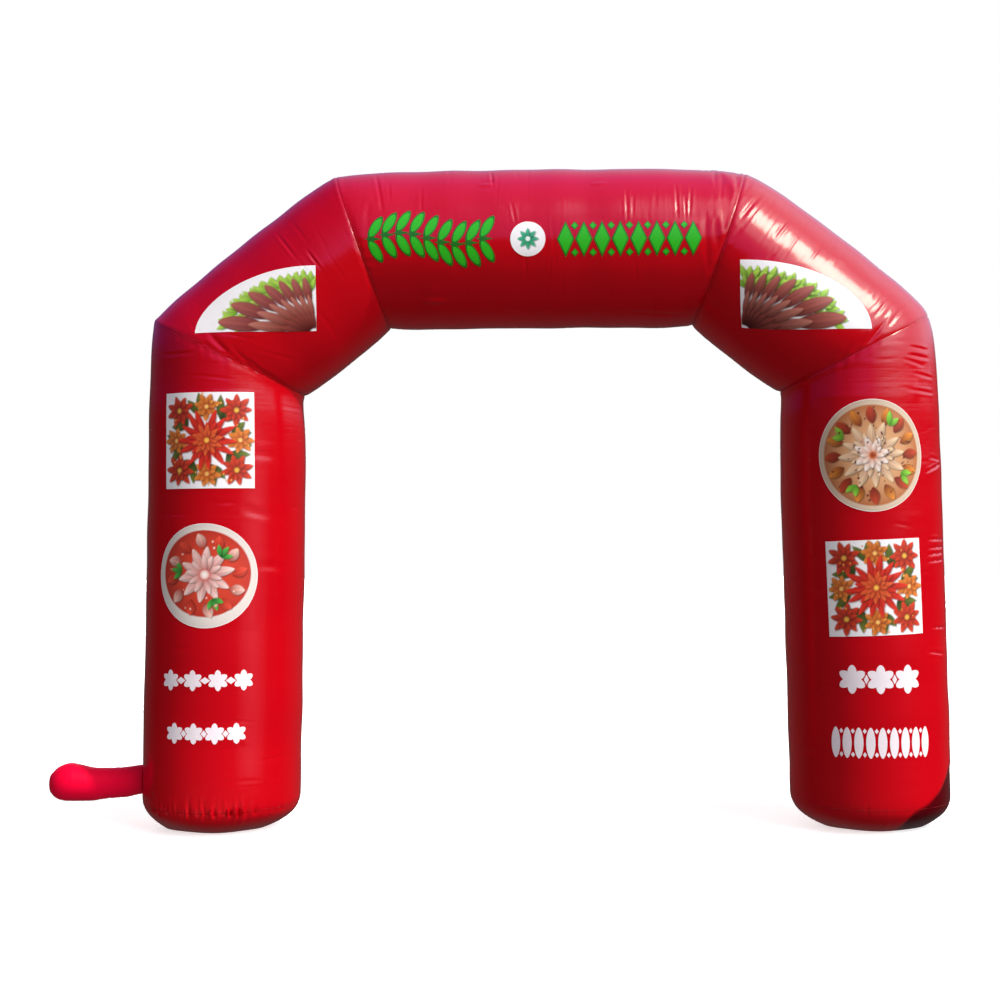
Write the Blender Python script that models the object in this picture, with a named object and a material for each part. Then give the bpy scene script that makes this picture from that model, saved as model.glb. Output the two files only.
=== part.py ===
"""Inflatable advertising arch of air-filled coated cloth.

Five straight tubes meet at mitred seams: two legs, two sloping shoulders and a level beam. Each
leg stands on a rounded foot panel, a sleeve for the blower leaves the left leg near the ground,
and printed films lie on the tubes. Metres, +Z up, the printed front faces -Y, and the ground is
at Z 0. The origin is the middle of the whole footprint, sleeve included.
"""

import math
from collections import namedtuple

import bmesh
import bpy
from mathutils import Vector

# Driving sizes
OUTER_WIDTH = 6.0  # over both legs at the ground, without the sleeve
TUBE_RADIUS = 0.585
KNEE_HEIGHT = 3.49  # where a leg's axis meets its shoulder's
BEAM_HEIGHT = 4.285  # the beam's axis
BEAM_AXIS_LENGTH = 2.65
LEG_LEAN = 0.08  # how far a knee stands inside its foot
FOOT_SEAM_HEIGHT = 0.18  # where the foot panel is gathered to the leg
FOOT_ROUNDING = 0.28  # the foot curves in below this height
BASE_RADIUS = 0.345  # the flat patch that a foot stands on
FOOT_GATHER = 0.006  # how far the gathered seam draws the cloth in
SLEEVE_HEIGHT = 0.352  # the sleeve's axis where it leaves the leg
GAP = 0.0003  # between pieces that touch
FILM_THICKNESS = 0.001

# Fineness of the facets
TUBE_SIDES = 48
SLEEVE_SIDES = 24
OUTLINE_STEPS = 40
FOOT_LEVELS = (0.0, 0.04, 0.13, 0.3, 0.55, 0.8, 1.0)  # shares of the foot seam's height

FRONT = Vector((0, -1, 0))
UP = Vector((0, 0, 1))

Relief = namedtuple("Relief", "distance drawn_in")
MITRE_RELIEF = (  # how far the seam draws the cloth in, by distance along the tube
    Relief(0.0, 0.034),
    Relief(0.08, 0.022),
    Relief(0.2, 0.012),
    Relief(0.38, 0.004),
)

Section = namedtuple("Section", "reach drop radius")
SLEEVE_SECTIONS = (  # reach from the leg's side, drop of the axis below SLEEVE_HEIGHT, radius
    Section(-0.12, 0.0, 0.110),
    Section(0.02, 0.0, 0.108),
    Section(0.11, 0.018, 0.112),
    Section(0.20, 0.026, 0.112),
    Section(0.29, 0.030, 0.115),
    Section(0.38, 0.036, 0.123),
    Section(0.47, 0.027, 0.134),
    Section(0.55, 0.020, 0.141),
    Section(0.605, 0.024, 0.134),
    Section(0.655, 0.029, 0.112),
    Section(0.688, 0.031, 0.074),
    Section(0.700, 0.031, 0.030),
)
SLEEVE_REACH = SLEEVE_SECTIONS[-1].reach

Film = namedtuple("Film", "name tube shape x z width height turn color")
FILMS = (  # x and z of the centre in the front view from the arch's middle, turn in degrees
    Film("left_leg_square_print", "left_leg", "square", -2.40, 2.855, 0.69, 0.69, 0, "F2EFEC"),
    Film("left_leg_round_print", "left_leg", "oval", -2.42, 1.885, 0.77, 0.75, 0, "EFE9E4"),
    Film("right_leg_oval_print", "right_leg", "oval", 2.345, 2.71, 0.78, 0.80, 0, "EDE3D8"),
    Film("right_leg_square_print", "right_leg", "square", 2.36, 1.77, 0.70, 0.68, 2, "F0ECE8"),
    Film("left_shoulder_print", "left_shoulder", "left_fan", -1.61, 3.63, 0.88, 0.47, 0, "E9E4DC"),
    Film("right_shoulder_print", "right_shoulder", "right_fan", 1.42, 3.61, 0.93, 0.50, 0, "E9E4DC"),
    Film("beam_emblem", "top_beam", "oval", -0.09, 4.275, 0.25, 0.25, 0, "F4F2EE"),
)

ARCH_MIDDLE = Vector((SLEEVE_REACH / 2, 0, 0))
CLOTH_RED = "C40816"
PANEL_RED = "9C0610"

Tube = namedtuple("Tube", "name start end start_normal end_normal start_relief end_relief")


def linear(color):
    """An sRGB hex colour as linear RGBA."""
    channels = [int(color[i : i + 2], 16) / 255 for i in (0, 2, 4)]
    return [c / 12.92 if c <= 0.04045 else ((c + 0.055) / 1.055) ** 2.4 for c in channels] + [1]


def finish(name, color, roughness):
    """A coated-cloth material of one colour."""
    material = bpy.data.materials.new(name)
    material.use_nodes = True
    shader = material.node_tree.nodes["Principled BSDF"]
    shader.inputs["Base Color"].default_value = linear(color)
    shader.inputs["Roughness"].default_value = roughness
    shader.inputs["Metallic"].default_value = 0
    return material


def new_collection(name):
    collection = bpy.data.collections.new(name)
    bpy.context.scene.collection.children.link(collection)
    return collection


def loft(name, rings, collection):
    """A closed solid through rings of equal count, with flat caps."""
    mesh = bpy.data.meshes.new(name)
    bm = bmesh.new()
    loops = [[bm.verts.new(point) for point in ring] for ring in rings]
    for first, second in zip(loops, loops[1:]):
        for i in range(len(first)):
            j = (i + 1) % len(first)
            bm.faces.new((first[i], first[j], second[j], second[i]))
    bm.faces.new(loops[0])
    bm.faces.new(loops[-1])
    bmesh.ops.recalc_face_normals(bm, faces=bm.faces)
    bm.to_mesh(mesh)
    bm.free()
    mesh.shade_smooth()
    mesh.set_sharp_from_angle(angle=math.radians(30))
    solid = bpy.data.objects.new(name, mesh)
    collection.objects.link(solid)
    return solid


def as_cutter(solid):
    solid.hide_render = True
    solid.display_type = "WIRE"
    return solid


def foot_radius(height):
    """Radius of a foot at a height, curving in to the base patch below FOOT_ROUNDING."""
    below = max(0.0, 1 - height / FOOT_ROUNDING)
    return BASE_RADIUS + (TUBE_RADIUS - BASE_RADIUS) * math.sqrt(1 - below**2)


def foot_relief():
    """The leg's relief just above the foot seam, as for a mitre."""
    rows = []
    for distance, gather in ((0.0, FOOT_GATHER), (0.05, FOOT_GATHER / 6), (0.11, 0.0)):
        narrowing = TUBE_RADIUS - foot_radius(FOOT_SEAM_HEIGHT + distance)
        rows.append(Relief(distance, narrowing + gather))
    return tuple(rows)


def axis_point(height):
    """The left leg's axis at a height."""
    side = OUTER_WIDTH / 2 - TUBE_RADIUS - LEG_LEAN * height / KNEE_HEIGHT
    return ARCH_MIDDLE + Vector((-side, 0, height))


def mirrored(point):
    """A point of the left half on the right half."""
    return Vector((2 * ARCH_MIDDLE.x - point.x, point.y, point.z))


def arch_tubes():
    """The five tubes in order from the left foot to the right foot."""
    left_foot = axis_point(FOOT_SEAM_HEIGHT)
    left_knee = axis_point(KNEE_HEIGHT)
    left_corner = ARCH_MIDDLE + Vector((-BEAM_AXIS_LENGTH / 2, 0, BEAM_HEIGHT))
    path = [left_foot, left_knee, left_corner]
    path += [mirrored(point) for point in reversed(path)]
    names = ("left_leg", "left_shoulder", "top_beam", "right_shoulder", "right_leg")
    runs = [(b - a).normalized() for a, b in zip(path, path[1:])]
    normals = [UP] + [(a + b).normalized() for a, b in zip(runs, runs[1:])] + [-UP]
    reliefs = [foot_relief()] + [MITRE_RELIEF] * 4 + [foot_relief()]
    tubes = {}
    for i, name in enumerate(names):
        ends = (path[i], path[i + 1], normals[i], normals[i + 1], reliefs[i], reliefs[i + 1])
        tubes[name] = Tube(name, *ends)
    return tubes


def outward(tube):
    """The side of a tube that faces away from the passage."""
    return (tube.end - tube.start).normalized().cross(-FRONT)


def tube_rings(tube, swell=0.0):
    """Rings of a tube, each seam's plane half a gap short of its neighbour. Swell adds to the radius."""
    run = (tube.end - tube.start).normalized()
    length = (tube.end - tube.start).length
    out = outward(tube)
    columns = []
    for side in range(TUBE_SIDES):
        angle = 2 * math.pi * side / TUBE_SIDES
        spoke = math.cos(angle) * out + math.sin(angle) * FRONT

        def seam(relief, normal):
            radius = TUBE_RADIUS - relief[0].drawn_in
            return -radius * spoke.dot(normal) / run.dot(normal)

        low = seam(tube.start_relief, tube.start_normal) + GAP / 2
        high = length + seam(tube.end_relief, tube.end_normal) - GAP / 2
        rows = [(low + row.distance, row.drawn_in) for row in tube.start_relief]
        rows += [(high - row.distance, row.drawn_in) for row in reversed(tube.end_relief)]
        column = []
        for along, drawn_in in rows:
            radius = TUBE_RADIUS - drawn_in + swell
            column.append(tube.start + along * run + radius * spoke)
        columns.append(column)
    return [list(ring) for ring in zip(*columns)]


def foot_rings(axis):
    """Level rings of a foot panel from its flat base to its seam."""
    rings = []
    for share in FOOT_LEVELS:
        height = share * (FOOT_SEAM_HEIGHT - GAP)
        radius = foot_radius(height) - FOOT_GATHER * share**4
        centre = axis(height)
        ring = []
        for side in range(TUBE_SIDES):
            angle = 2 * math.pi * side / TUBE_SIDES
            ring.append(centre + radius * Vector((math.cos(angle), math.sin(angle), 0)))
        rings.append(ring)
    return rings


def sleeve_rings():
    """Upright rings of the inflation sleeve, from inside the leg to its rounded end."""
    root = axis_point(SLEEVE_HEIGHT) - Vector((TUBE_RADIUS, 0, 0))
    rings = []
    for row in SLEEVE_SECTIONS:
        centre = root - Vector((row.reach, 0, row.drop))
        ring = []
        for side in range(SLEEVE_SIDES):
            angle = 2 * math.pi * side / SLEEVE_SIDES
            ring.append(centre + row.radius * Vector((0, math.cos(angle), math.sin(angle))))
        rings.append(ring)
    return rings


def square_outline(film):
    half_width, half_height = film.width / 2, film.height / 2
    return [(x * half_width, z * half_height) for x, z in ((-1, -1), (1, -1), (1, 1), (-1, 1))]


def oval_outline(film):
    turns = [2 * math.pi * step / OUTLINE_STEPS for step in range(OUTLINE_STEPS)]
    return [(film.width / 2 * math.cos(turn), film.height / 2 * math.sin(turn)) for turn in turns]


def fan_outline(film, direction):
    """A quarter of an oval whose square corner is at the film's place."""
    steps = OUTLINE_STEPS // 2
    turns = [math.pi / 2 * step / steps for step in range(steps + 1)]
    arc = [(direction * film.width * math.cos(turn), film.height * math.sin(turn)) for turn in turns]
    return [(0, 0)] + arc


OUTLINES = {
    "square": square_outline,
    "oval": oval_outline,
    "left_fan": lambda film: fan_outline(film, -1),
    "right_fan": lambda film: fan_outline(film, 1),
}


def wrapped(film, tube, across, along):
    """Where a point of the flat film comes to lie in the front view when it is bent round the tube."""
    turn = math.radians(film.turn)
    x = film.x + across * math.cos(turn) - along * math.sin(turn)
    z = film.z + across * math.sin(turn) + along * math.cos(turn)
    point = ARCH_MIDDLE + Vector((x, 0, z))
    run = (tube.end - tube.start).normalized()
    foot = tube.start + (point - tube.start).dot(run) * run
    aside = (point - foot).dot(outward(tube))
    return foot + TUBE_RADIUS * math.sin(aside / TUBE_RADIUS) * outward(tube)


def outline_prism(film, tube, collection):
    """The film's outline in the front view, as a bar through the front wall of its tube."""
    curve = bpy.data.curves.new(film.name + "_outline", "CURVE")
    curve.dimensions = "2D"
    curve.fill_mode = "BOTH"
    curve.extrude = TUBE_RADIUS / 2
    outline = OUTLINES[film.shape](film)
    spline = curve.splines.new("POLY")
    spline.points.add(len(outline) - 1)
    spline.use_cyclic_u = True
    for point, (across, along) in zip(spline.points, outline):
        place = wrapped(film, tube, across, along)
        point.co = (place.x, place.z, 0, 1)
    drawn = bpy.data.objects.new(film.name + "_outline", curve)
    drawn.rotation_euler = (math.pi / 2, 0, 0)
    drawn.location = FRONT * (TUBE_RADIUS * 0.7)
    collection.objects.link(drawn)
    bpy.context.view_layer.update()
    return solid_from_curve(drawn, film.name)


def solid_from_curve(drawn, name):
    """The curve's solid as a mesh with its caps joined, placed as the curve was. The curve goes."""
    graph = bpy.context.evaluated_depsgraph_get()
    mesh = bpy.data.meshes.new_from_object(drawn.evaluated_get(graph))
    mesh.name = name
    bm = bmesh.new()
    bm.from_mesh(mesh)
    bmesh.ops.remove_doubles(bm, verts=bm.verts, dist=1e-5)
    bmesh.ops.recalc_face_normals(bm, faces=bm.faces)
    bm.to_mesh(mesh)
    bm.free()
    solid = bpy.data.objects.new(name, mesh)
    solid.matrix_world = drawn.matrix_world.copy()
    bpy.data.objects.remove(drawn)
    return solid


def boolean(solid, operation, other):
    modifier = solid.modifiers.new(operation.lower() + "_" + other.name, "BOOLEAN")
    modifier.operation = operation
    modifier.solver = "EXACT"
    modifier.object = other


def add_films(tubes, parts, cutters):
    """Each film is the part of a thin skin over its tube that lies behind the film's outline."""
    skins = {}
    for film in FILMS:
        tube = tubes[film.tube]
        if film.tube not in skins:
            outer = loft(tube.name + "_skin_outside", tube_rings(tube, GAP + FILM_THICKNESS), cutters)
            inner = loft(tube.name + "_skin_inside", tube_rings(tube, GAP), cutters)
            skins[film.tube] = (as_cutter(outer), as_cutter(inner))
        outer, inner = skins[film.tube]
        solid = outline_prism(film, tube, cutters)
        parts.objects.link(solid)
        boolean(solid, "INTERSECT", outer)
        boolean(solid, "DIFFERENCE", inner)
        solid.data.materials.append(finish(film.name + "_film", film.color, 0.35))


def add_sleeve(tubes, parts, cutters):
    """The sleeve's root follows the leg's side."""
    leg = loft("leg_side", tube_rings(tubes["left_leg"], GAP), cutters)
    sleeve = loft("inflation_sleeve", sleeve_rings(), parts)
    boolean(sleeve, "DIFFERENCE", as_cutter(leg))
    sleeve.data.materials.append(finish("sleeve_cloth", CLOTH_RED, 0.3))


def build():
    for old in list(bpy.data.objects):
        bpy.data.objects.remove(old)
    parts = new_collection("inflatable_arch")
    cutters = new_collection("cutters")
    tubes = arch_tubes()
    for tube in tubes.values():
        solid = loft(tube.name, tube_rings(tube), parts)
        solid.data.materials.append(finish(tube.name + "_cloth", CLOTH_RED, 0.3))
    for name, axis in (
        ("left_foot_panel", axis_point),
        ("right_foot_panel", lambda height: mirrored(axis_point(height))),
    ):
        foot = loft(name, foot_rings(axis), parts)
        foot.data.materials.append(finish(name + "_cloth", PANEL_RED, 0.35))
    add_sleeve(tubes, parts, cutters)
    add_films(tubes, parts, cutters)


build()
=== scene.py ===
"""Looks of an inflatable arch of air-filled coated cloth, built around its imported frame.

The tubes, feet and blower sleeve are closed air-filled skins with drawn-in seams and creases, the
prints are thin films that lie on the tubes, and every seam has its rows of stitches. Metres, +Z up,
and the printed front faces -Y.
"""

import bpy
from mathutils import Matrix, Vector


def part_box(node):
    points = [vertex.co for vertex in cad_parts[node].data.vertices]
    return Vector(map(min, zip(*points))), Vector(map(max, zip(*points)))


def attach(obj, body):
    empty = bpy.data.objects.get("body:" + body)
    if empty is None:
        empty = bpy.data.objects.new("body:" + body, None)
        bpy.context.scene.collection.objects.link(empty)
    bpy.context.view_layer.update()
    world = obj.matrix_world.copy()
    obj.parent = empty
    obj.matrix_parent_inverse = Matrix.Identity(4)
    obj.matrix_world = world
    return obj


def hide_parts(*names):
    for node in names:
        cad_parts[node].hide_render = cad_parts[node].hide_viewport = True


bl_info = {
    "name": "Inflatable Arch",
    "version": (1, 0, 0),
    "blender": (4, 5, 0),
    "location": "View3D > Sidebar > Arch",
    "description": "Air-filled cloth arch with printed films, ornaments and stitched seams",
    "category": "Add Mesh",
}

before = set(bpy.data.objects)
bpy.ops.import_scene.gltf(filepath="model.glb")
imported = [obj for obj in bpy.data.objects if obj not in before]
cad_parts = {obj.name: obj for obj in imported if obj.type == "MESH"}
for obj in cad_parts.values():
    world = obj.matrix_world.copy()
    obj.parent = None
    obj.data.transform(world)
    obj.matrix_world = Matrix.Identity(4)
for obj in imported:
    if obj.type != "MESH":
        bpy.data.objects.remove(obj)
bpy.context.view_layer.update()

import math
from collections import namedtuple

import bpy
import numpy as np
from bpy.props import FloatProperty, FloatVectorProperty, PointerProperty
from mathutils import Matrix, Vector

BODY = "root"
FRONT = np.array([0.0, -1.0, 0.0])
UP = np.array([0.0, 0.0, 1.0])

BEAM_LOW, BEAM_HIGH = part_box("top_beam")
LEG_LOW, LEG_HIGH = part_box("left_leg")
MIDDLE_X = (BEAM_LOW.x + BEAM_HIGH.x) / 2  # the arch's middle, without the sleeve

# Grid of the skins
COLUMNS = 184  # round a tube
FRONT_CROWDING = 0.45  # columns stand closer at the front, where short creases run along the tube
ROW_STEP = 0.0105  # along a tube, on its longest side

# Seams
Mitre = namedtuple("Mitre", "outside side inside valley")  # how far the seam draws both tubes in
MITRES = {  # by the tubes that meet there. The valley is the narrow one at the thread itself
    ("left_leg", "left_shoulder"): Mitre(0.026, 0.007, 0.022, 0.0008),
    ("left_shoulder", "top_beam"): Mitre(0.034, 0.011, 0.010, 0.0036),
    ("top_beam", "right_shoulder"): Mitre(0.046, 0.016, 0.014, 0.0040),
    ("right_shoulder", "right_leg"): Mitre(0.056, 0.018, 0.022, 0.0030),
}
Reach = namedtuple("Reach", "outside inside")  # how far along a tube a mitre is felt
REACHES = {
    "left_leg": Reach(0.16, 0.30),
    "left_shoulder": Reach(0.09, 0.05),
    "top_beam": Reach(0.20, 0.12),
    "right_shoulder": Reach(0.09, 0.05),
    "right_leg": Reach(0.16, 0.30),
}
VALLEY_REACH = 0.014
END_ROWS = (0.0, 0.003, 0.006, 0.010, 0.015, 0.021)  # the first rows of a tube's grid, from its seam
FOOT_NEAR_REACH = 0.03
PUCKER = 0.0020  # small pleats across a seam
PUCKER_REACH = 0.055
PUCKER_WAVES = 9  # that add up to the pleats
PUCKER_COUNTS = (22, 58)  # pleats round a tube in each
PUCKER_THIRDS = 0.6  # the pleats are that much stronger on three sides
PUCKER_SEED = 7  # times a tube's own
Gather = namedtuple("Gather", "count front depth draw seed")  # a share of the pleats is at the front
GATHERS = {
    "left_leg": Gather(116, 0.62, 0.0086, 0.004, 11),
    "right_leg": Gather(60, 0.3, 0.0016, 0.0008, 15),
}
Fold = namedtuple("Fold", "x height reach width lift")
FOLDS = {  # raised folds in the foot panels, by x from the arch's middle in the front view
    "left_leg": (Fold(-2.155, 0.10, 0.045, 0.011, 0.010), Fold(-2.62, 0.17, 0.060, 0.012, 0.008)),
    "right_leg": (Fold(2.43, 0.06, 0.040, 0.012, 0.010),),
}
GATHER_WIDTHS = (0.008, 0.016)
GATHER_REACHES = (0.02, 0.09)
GATHER_SHALLOWEST = 0.3  # a share of the deepest
GATHER_SPREAD = 0.5  # of the angles of those at the front
GATHER_LEAN = 0.12
GATHER_SQUEEZE = 0.7  # the pleats die out sooner on the foot panel, by this
GATHER_CURVE = 6  # and its cloth is drawn in only near its top
Swell = namedtuple("Swell", "outside inside")  # how much fuller a tube is at its middle
SWELLS = {
    "left_leg": Swell(-0.004, 0.0),
    "left_shoulder": Swell(0.010, 0.006),
    "top_beam": Swell(0.006, -0.004),
    "right_shoulder": Swell(0.014, 0.006),
    "right_leg": Swell(0.0, 0.0),
}
Lines = namedtuple("Lines", "half_turns slant depths widths")  # creases that run round a tube
FAINT_LINES = Lines((0.1, 0.42), 0.012, (0.0004, 0.0016), (0.008, 0.016))
FAINT_LINES_PER_METRE = 26
FAINT_LINES_PAST = 0.1  # they go on this far past a tube's ends
Ripples = namedtuple("Ripples", "count angle spread lines")
SHOULDER_LINES = Lines((0.12, 0.36), 0.010, (0.0006, 0.0024), (0.009, 0.014))
RIPPLES = {"right_shoulder": Ripples(64, 0.95, 0.30, SHOULDER_LINES)}
CREASE_TAPER = 0.8  # below 1 a crease keeps more of its depth towards its ends
CREASE_CUT = 5  # how many widths to the side a crease is felt
CREASES_START = 0.03  # they fade in this far from a seam
BILLOWS = 14  # slow waves in the cloth
BILLOW_TURNS = 4  # a wave goes up and down less often than this round a tube
BILLOW_SEED = 100  # added to a tube's own
BILLOW_LENGTHS = (0.35, 1.1)
BILLOW_HEIGHT = 0.0006
KNEE_WAIST = 0.014  # a leg's inner side is narrowest a hand below the knee
KNEE_WAIST_DEPTH = 0.10

# Cloth simulation: each tube is blown up on a coarse grid, and the fine grid takes over its slack
AIR_COLUMNS = 144
AIR_ROW_NEAR = 0.020  # between rows by a seam
AIR_ROW_FAR = 0.055
AIR_NEAR = 0.32  # how far from a seam the rows are close
AIR_FRAMES = 20
AIR_PRESSURE = 4.0
AIR_EXTRA_CLOTH = 0.012  # the share by which the cloth is larger than its pattern
AIR_LIMIT = 0.010  # the furthest that the air moves the cloth
AIR_SHARES = {"left_leg": 0.4, "top_beam": 0.7, "right_leg": 0.8}  # of the move that is kept, if not all
AIR_FOOT_REACH = 0.5  # the move fades out towards a foot's gathers
AIR_CLOTH = {  # settings of the cloth
    "quality": 5,
    "mass": 0.3,
    "tension_stiffness": 15,
    "compression_stiffness": 15,
    "shear_stiffness": 5,
    "bending_stiffness": 0.5,
    "use_pressure": True,
    "uniform_pressure_force": AIR_PRESSURE,
    "shrink_min": -AIR_EXTRA_CLOTH,
    "shrink_max": -AIR_EXTRA_CLOTH,
}

# Feet
Foot = namedtuple("Foot", "outside front inside")
FEET = {  # how far the cloth curves in at the ground
    "left_leg": Foot(0.170, 0.27, 0.250),
    "right_leg": Foot(0.195, 0.27, 0.235),
}
FOOT_CURVES = {  # 1 is a straight slope, and more curves in nearer the ground
    "left_leg": Foot(2.1, 3.0, 2.6),
    "right_leg": Foot(2.5, 3.0, 2.5),
}
FOOT_DIAGONAL = 0.035  # more at the four corners between the sides and the front and back
FOOT_ROUNDING = 0.25  # below this height
TUCK = (  # the right foot's lower right corner is folded under along this line, in the front view
    (2.94, 0.46), (2.91, 0.40), (2.84, 0.305), (2.74, 0.225), (2.62, 0.165), (2.57, 0.11), (2.50, 0.03),
)
TUCK_DEPTH = 0.007
TUCK_BLUR = 0.050  # how soft its edge is
TUCK_START_FADE = 0.08
# Round the leg's side its edge falls again and its depth fades. Places are shares of the radius.
TUCK_TOP = 0.18  # in front of the side
TUCK_END = 0.72  # behind the side
TUCK_FALL = 1.5  # above 1 the edge falls late
TUCK_FADE_START = 0.25
TUCK_FADE_END = 0.75
TUCK_FOOT_RISE = 0.06  # its depth fades in above the ground
FOOT_ROWS = 36
FRONT_LIMIT = 0.9995  # places in the front view stay this near a tube's axis, as a share of its radius
TUCK_SHADE_COLOR = "4E0208"  # painted shade: the cloth in the tuck gets this dark colour, which stands for the shadow there

Tube = namedtuple("Tube", "name start run length out start_normal end_normal start_seam end_seam seed")
TUBE_SEED = 11  # of the left leg's creases. Each tube after it has one more

Crease = namedtuple("Crease", "x0 z0 x1 z1 depth width")
CREASES = {  # rows of Crease, with ends in the front view, x from the arch's middle, and raised below 0
    "left_shoulder": (  # lines round the tube beside the beam's seam
        (-1.92, 4.37, -1.74, 4.14, 0.0042, 0.011),
        (-1.68, 4.22, -1.57, 4.07, 0.0044, 0.010),
        (-1.73, 4.13, -1.62, 4.00, 0.0038, 0.010),
        (-1.80, 4.44, -1.66, 4.26, 0.0018, 0.012),
        (-2.36, 3.64, -2.00, 3.56, 0.0020, 0.014),
        (-2.10, 3.52, -1.78, 3.44, 0.0016, 0.016),
    ),
    "top_beam": (  # short lines, most of them round the tube
        (-0.36, 4.83, -0.34, 4.66, 0.0050, 0.010),
        (-0.46, 4.69, -0.31, 4.69, -0.0066, 0.020),
        (-1.21, 4.82, -1.13, 4.48, 0.0032, 0.012),
        (-1.10, 4.74, -1.08, 4.55, 0.0020, 0.010),
        (-0.86, 4.70, -0.85, 4.44, 0.0018, 0.011),
        (-0.88, 3.86, -0.67, 3.86, -0.0130, 0.024),
        (-0.21, 4.56, -0.17, 4.34, 0.0026, 0.009),
        (0.36, 4.69, 0.49, 4.70, -0.0060, 0.020),
        (0.62, 4.66, 0.62, 4.36, 0.0034, 0.009),
        (0.67, 4.60, 0.66, 4.42, 0.0022, 0.008),
        (0.98, 4.70, 0.98, 4.40, 0.0040, 0.009),
        (1.04, 4.60, 1.04, 4.38, 0.0034, 0.008),
        (1.09, 4.68, 1.06, 4.39, 0.0036, 0.009),
        (1.28, 4.84, 1.26, 4.66, 0.0020, 0.010),
        (1.33, 4.76, 1.29, 4.54, 0.0014, 0.011),
        (1.45, 4.76, 1.37, 4.44, 0.0018, 0.014),
        (0.58, 3.78, 1.10, 3.76, 0.0050, 0.020),
    ),
    "right_shoulder": (  # ripples round the tube
        (1.58, 4.60, 1.44, 4.42, 0.0040, 0.013),
        (1.69, 4.56, 1.54, 4.37, 0.0026, 0.012),
        (1.80, 4.44, 1.66, 4.27, 0.0026, 0.012),
        (1.92, 4.38, 1.78, 4.20, 0.0024, 0.012),
        (2.04, 4.26, 1.88, 4.06, 0.0024, 0.012),
        (2.18, 4.16, 2.04, 3.98, 0.0020, 0.012),
        (2.52, 3.86, 2.34, 3.66, 0.0026, 0.012),
        (2.62, 3.80, 2.46, 3.62, 0.0030, 0.012),
        (1.80, 3.18, 1.93, 3.26, 0.0070, 0.016),
        (1.02, 3.72, 1.18, 3.84, 0.0050, 0.018),
    ),
    "right_leg": (  # pleats at its outer side
        (2.63, 3.49, 2.80, 3.47, 0.0063, 0.010),
        (2.62, 3.43, 2.80, 3.41, 0.0070, 0.010),
        (2.58, 3.40, 2.76, 3.35, 0.0063, 0.009),
        (2.66, 3.30, 2.84, 3.27, 0.0042, 0.010),
        (2.60, 3.18, 2.84, 3.16, 0.0050, 0.010),
        (2.74, 2.59, 2.91, 2.67, 0.0070, 0.010),
        (2.78, 2.70, 2.90, 2.68, 0.0042, 0.010),
        (2.75, 2.11, 2.94, 2.10, 0.0063, 0.009),
        (2.75, 2.05, 2.94, 2.05, 0.0056, 0.009),
        (2.75, 2.00, 2.92, 2.01, 0.0063, 0.009),
        (2.75, 1.95, 2.93, 1.96, 0.0056, 0.009),
        (2.76, 1.48, 2.95, 1.46, 0.0063, 0.009),
        (2.74, 1.31, 2.92, 1.27, 0.0063, 0.010),
    ),
    "left_leg": (  # slack below the knee, and above the foot
        (-2.20, 2.78, -1.94, 2.74, 0.0036, 0.036),
        (-2.16, 2.37, -1.96, 2.30, 0.0034, 0.036),
        (-2.10, 1.96, -1.88, 1.94, 0.0030, 0.034),
        (-1.96, 0.44, -1.94, 0.27, 0.0040, 0.012),
        (-2.88, 0.34, -2.80, 0.22, 0.0040, 0.014),
    ),
}

# Stitches
STITCH_PITCH = 0.016
STITCH_LENGTH = 0.011
STITCH_THICKNESS = 0.0009
STITCH_SIDES = 6
STITCH_SCALES = (0.85, 1.1)  # from the shortest stitch to the longest
STITCH_SEED = 3
STITCH_STEPS = 240  # guide points round a tube
STITCH_OFFSET = 0.012  # from the seam, on both sides
STITCH_LIFT = 0.0008  # above the cloth

# Films and ornaments
FilmPlace = namedtuple("FilmPlace", "name tube shape x z width height turn design")
FILMS = (  # as on the frame: centre or corner in the front view from the arch's middle
    FilmPlace("left_leg_square_print", "left_leg", "square", -2.40, 2.855, 0.69, 0.69, 0, "bouquet"),
    FilmPlace("left_leg_round_print", "left_leg", "oval", -2.42, 1.885, 0.77, 0.75, 0, "red_disc"),
    FilmPlace("right_leg_oval_print", "right_leg", "oval", 2.345, 2.71, 0.78, 0.80, 0, "cream_disc"),
    FilmPlace("right_leg_square_print", "right_leg", "square", 2.36, 1.77, 0.70, 0.68, 2, "bouquet"),
    FilmPlace("left_shoulder_print", "left_shoulder", "left_fan", -1.61, 3.63, 0.88, 0.47, 0, "fan"),
    FilmPlace("right_shoulder_print", "right_shoulder", "right_fan", 1.42, 3.61, 0.93, 0.50, 0, "fan"),
    FilmPlace("beam_emblem", "top_beam", "oval", -0.09, 4.275, 0.25, 0.25, 0, "rosette"),
)
STIFFNESS = 0.85  # the share of a crease that a print takes out
STIFF_EDGE = 0.05
SHARP_SKIN = math.radians(50)  # from this angle an edge between two faces shows
SHARP_FILM = math.radians(40)
FILM_LIFTS = (0.0020, 0.0008)  # of a film's face and of its underside above the cloth
FILM_COLOR = "F6F2F4"
FILM_STEP = 0.0065  # the grid that holds a film's print
EMBLEM_STEP = 0.0040
SMALL_FILM = 0.5  # a film narrower than this has the emblem's grid
PRINT_BLUR = 0.006  # the soft edge of a printed motif
PRINT_SHADOW = 0.006  # how far a motif's drawn shadow slips
TRANSFER_STEP = 0.016  # the grid of a row of ornament
INK_LOW = 0.0003  # the ink's underside above the cloth
INK_HIGH = 0.0014
INK_STEP = 0.0004  # each layer of ink stands this much above the last

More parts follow.
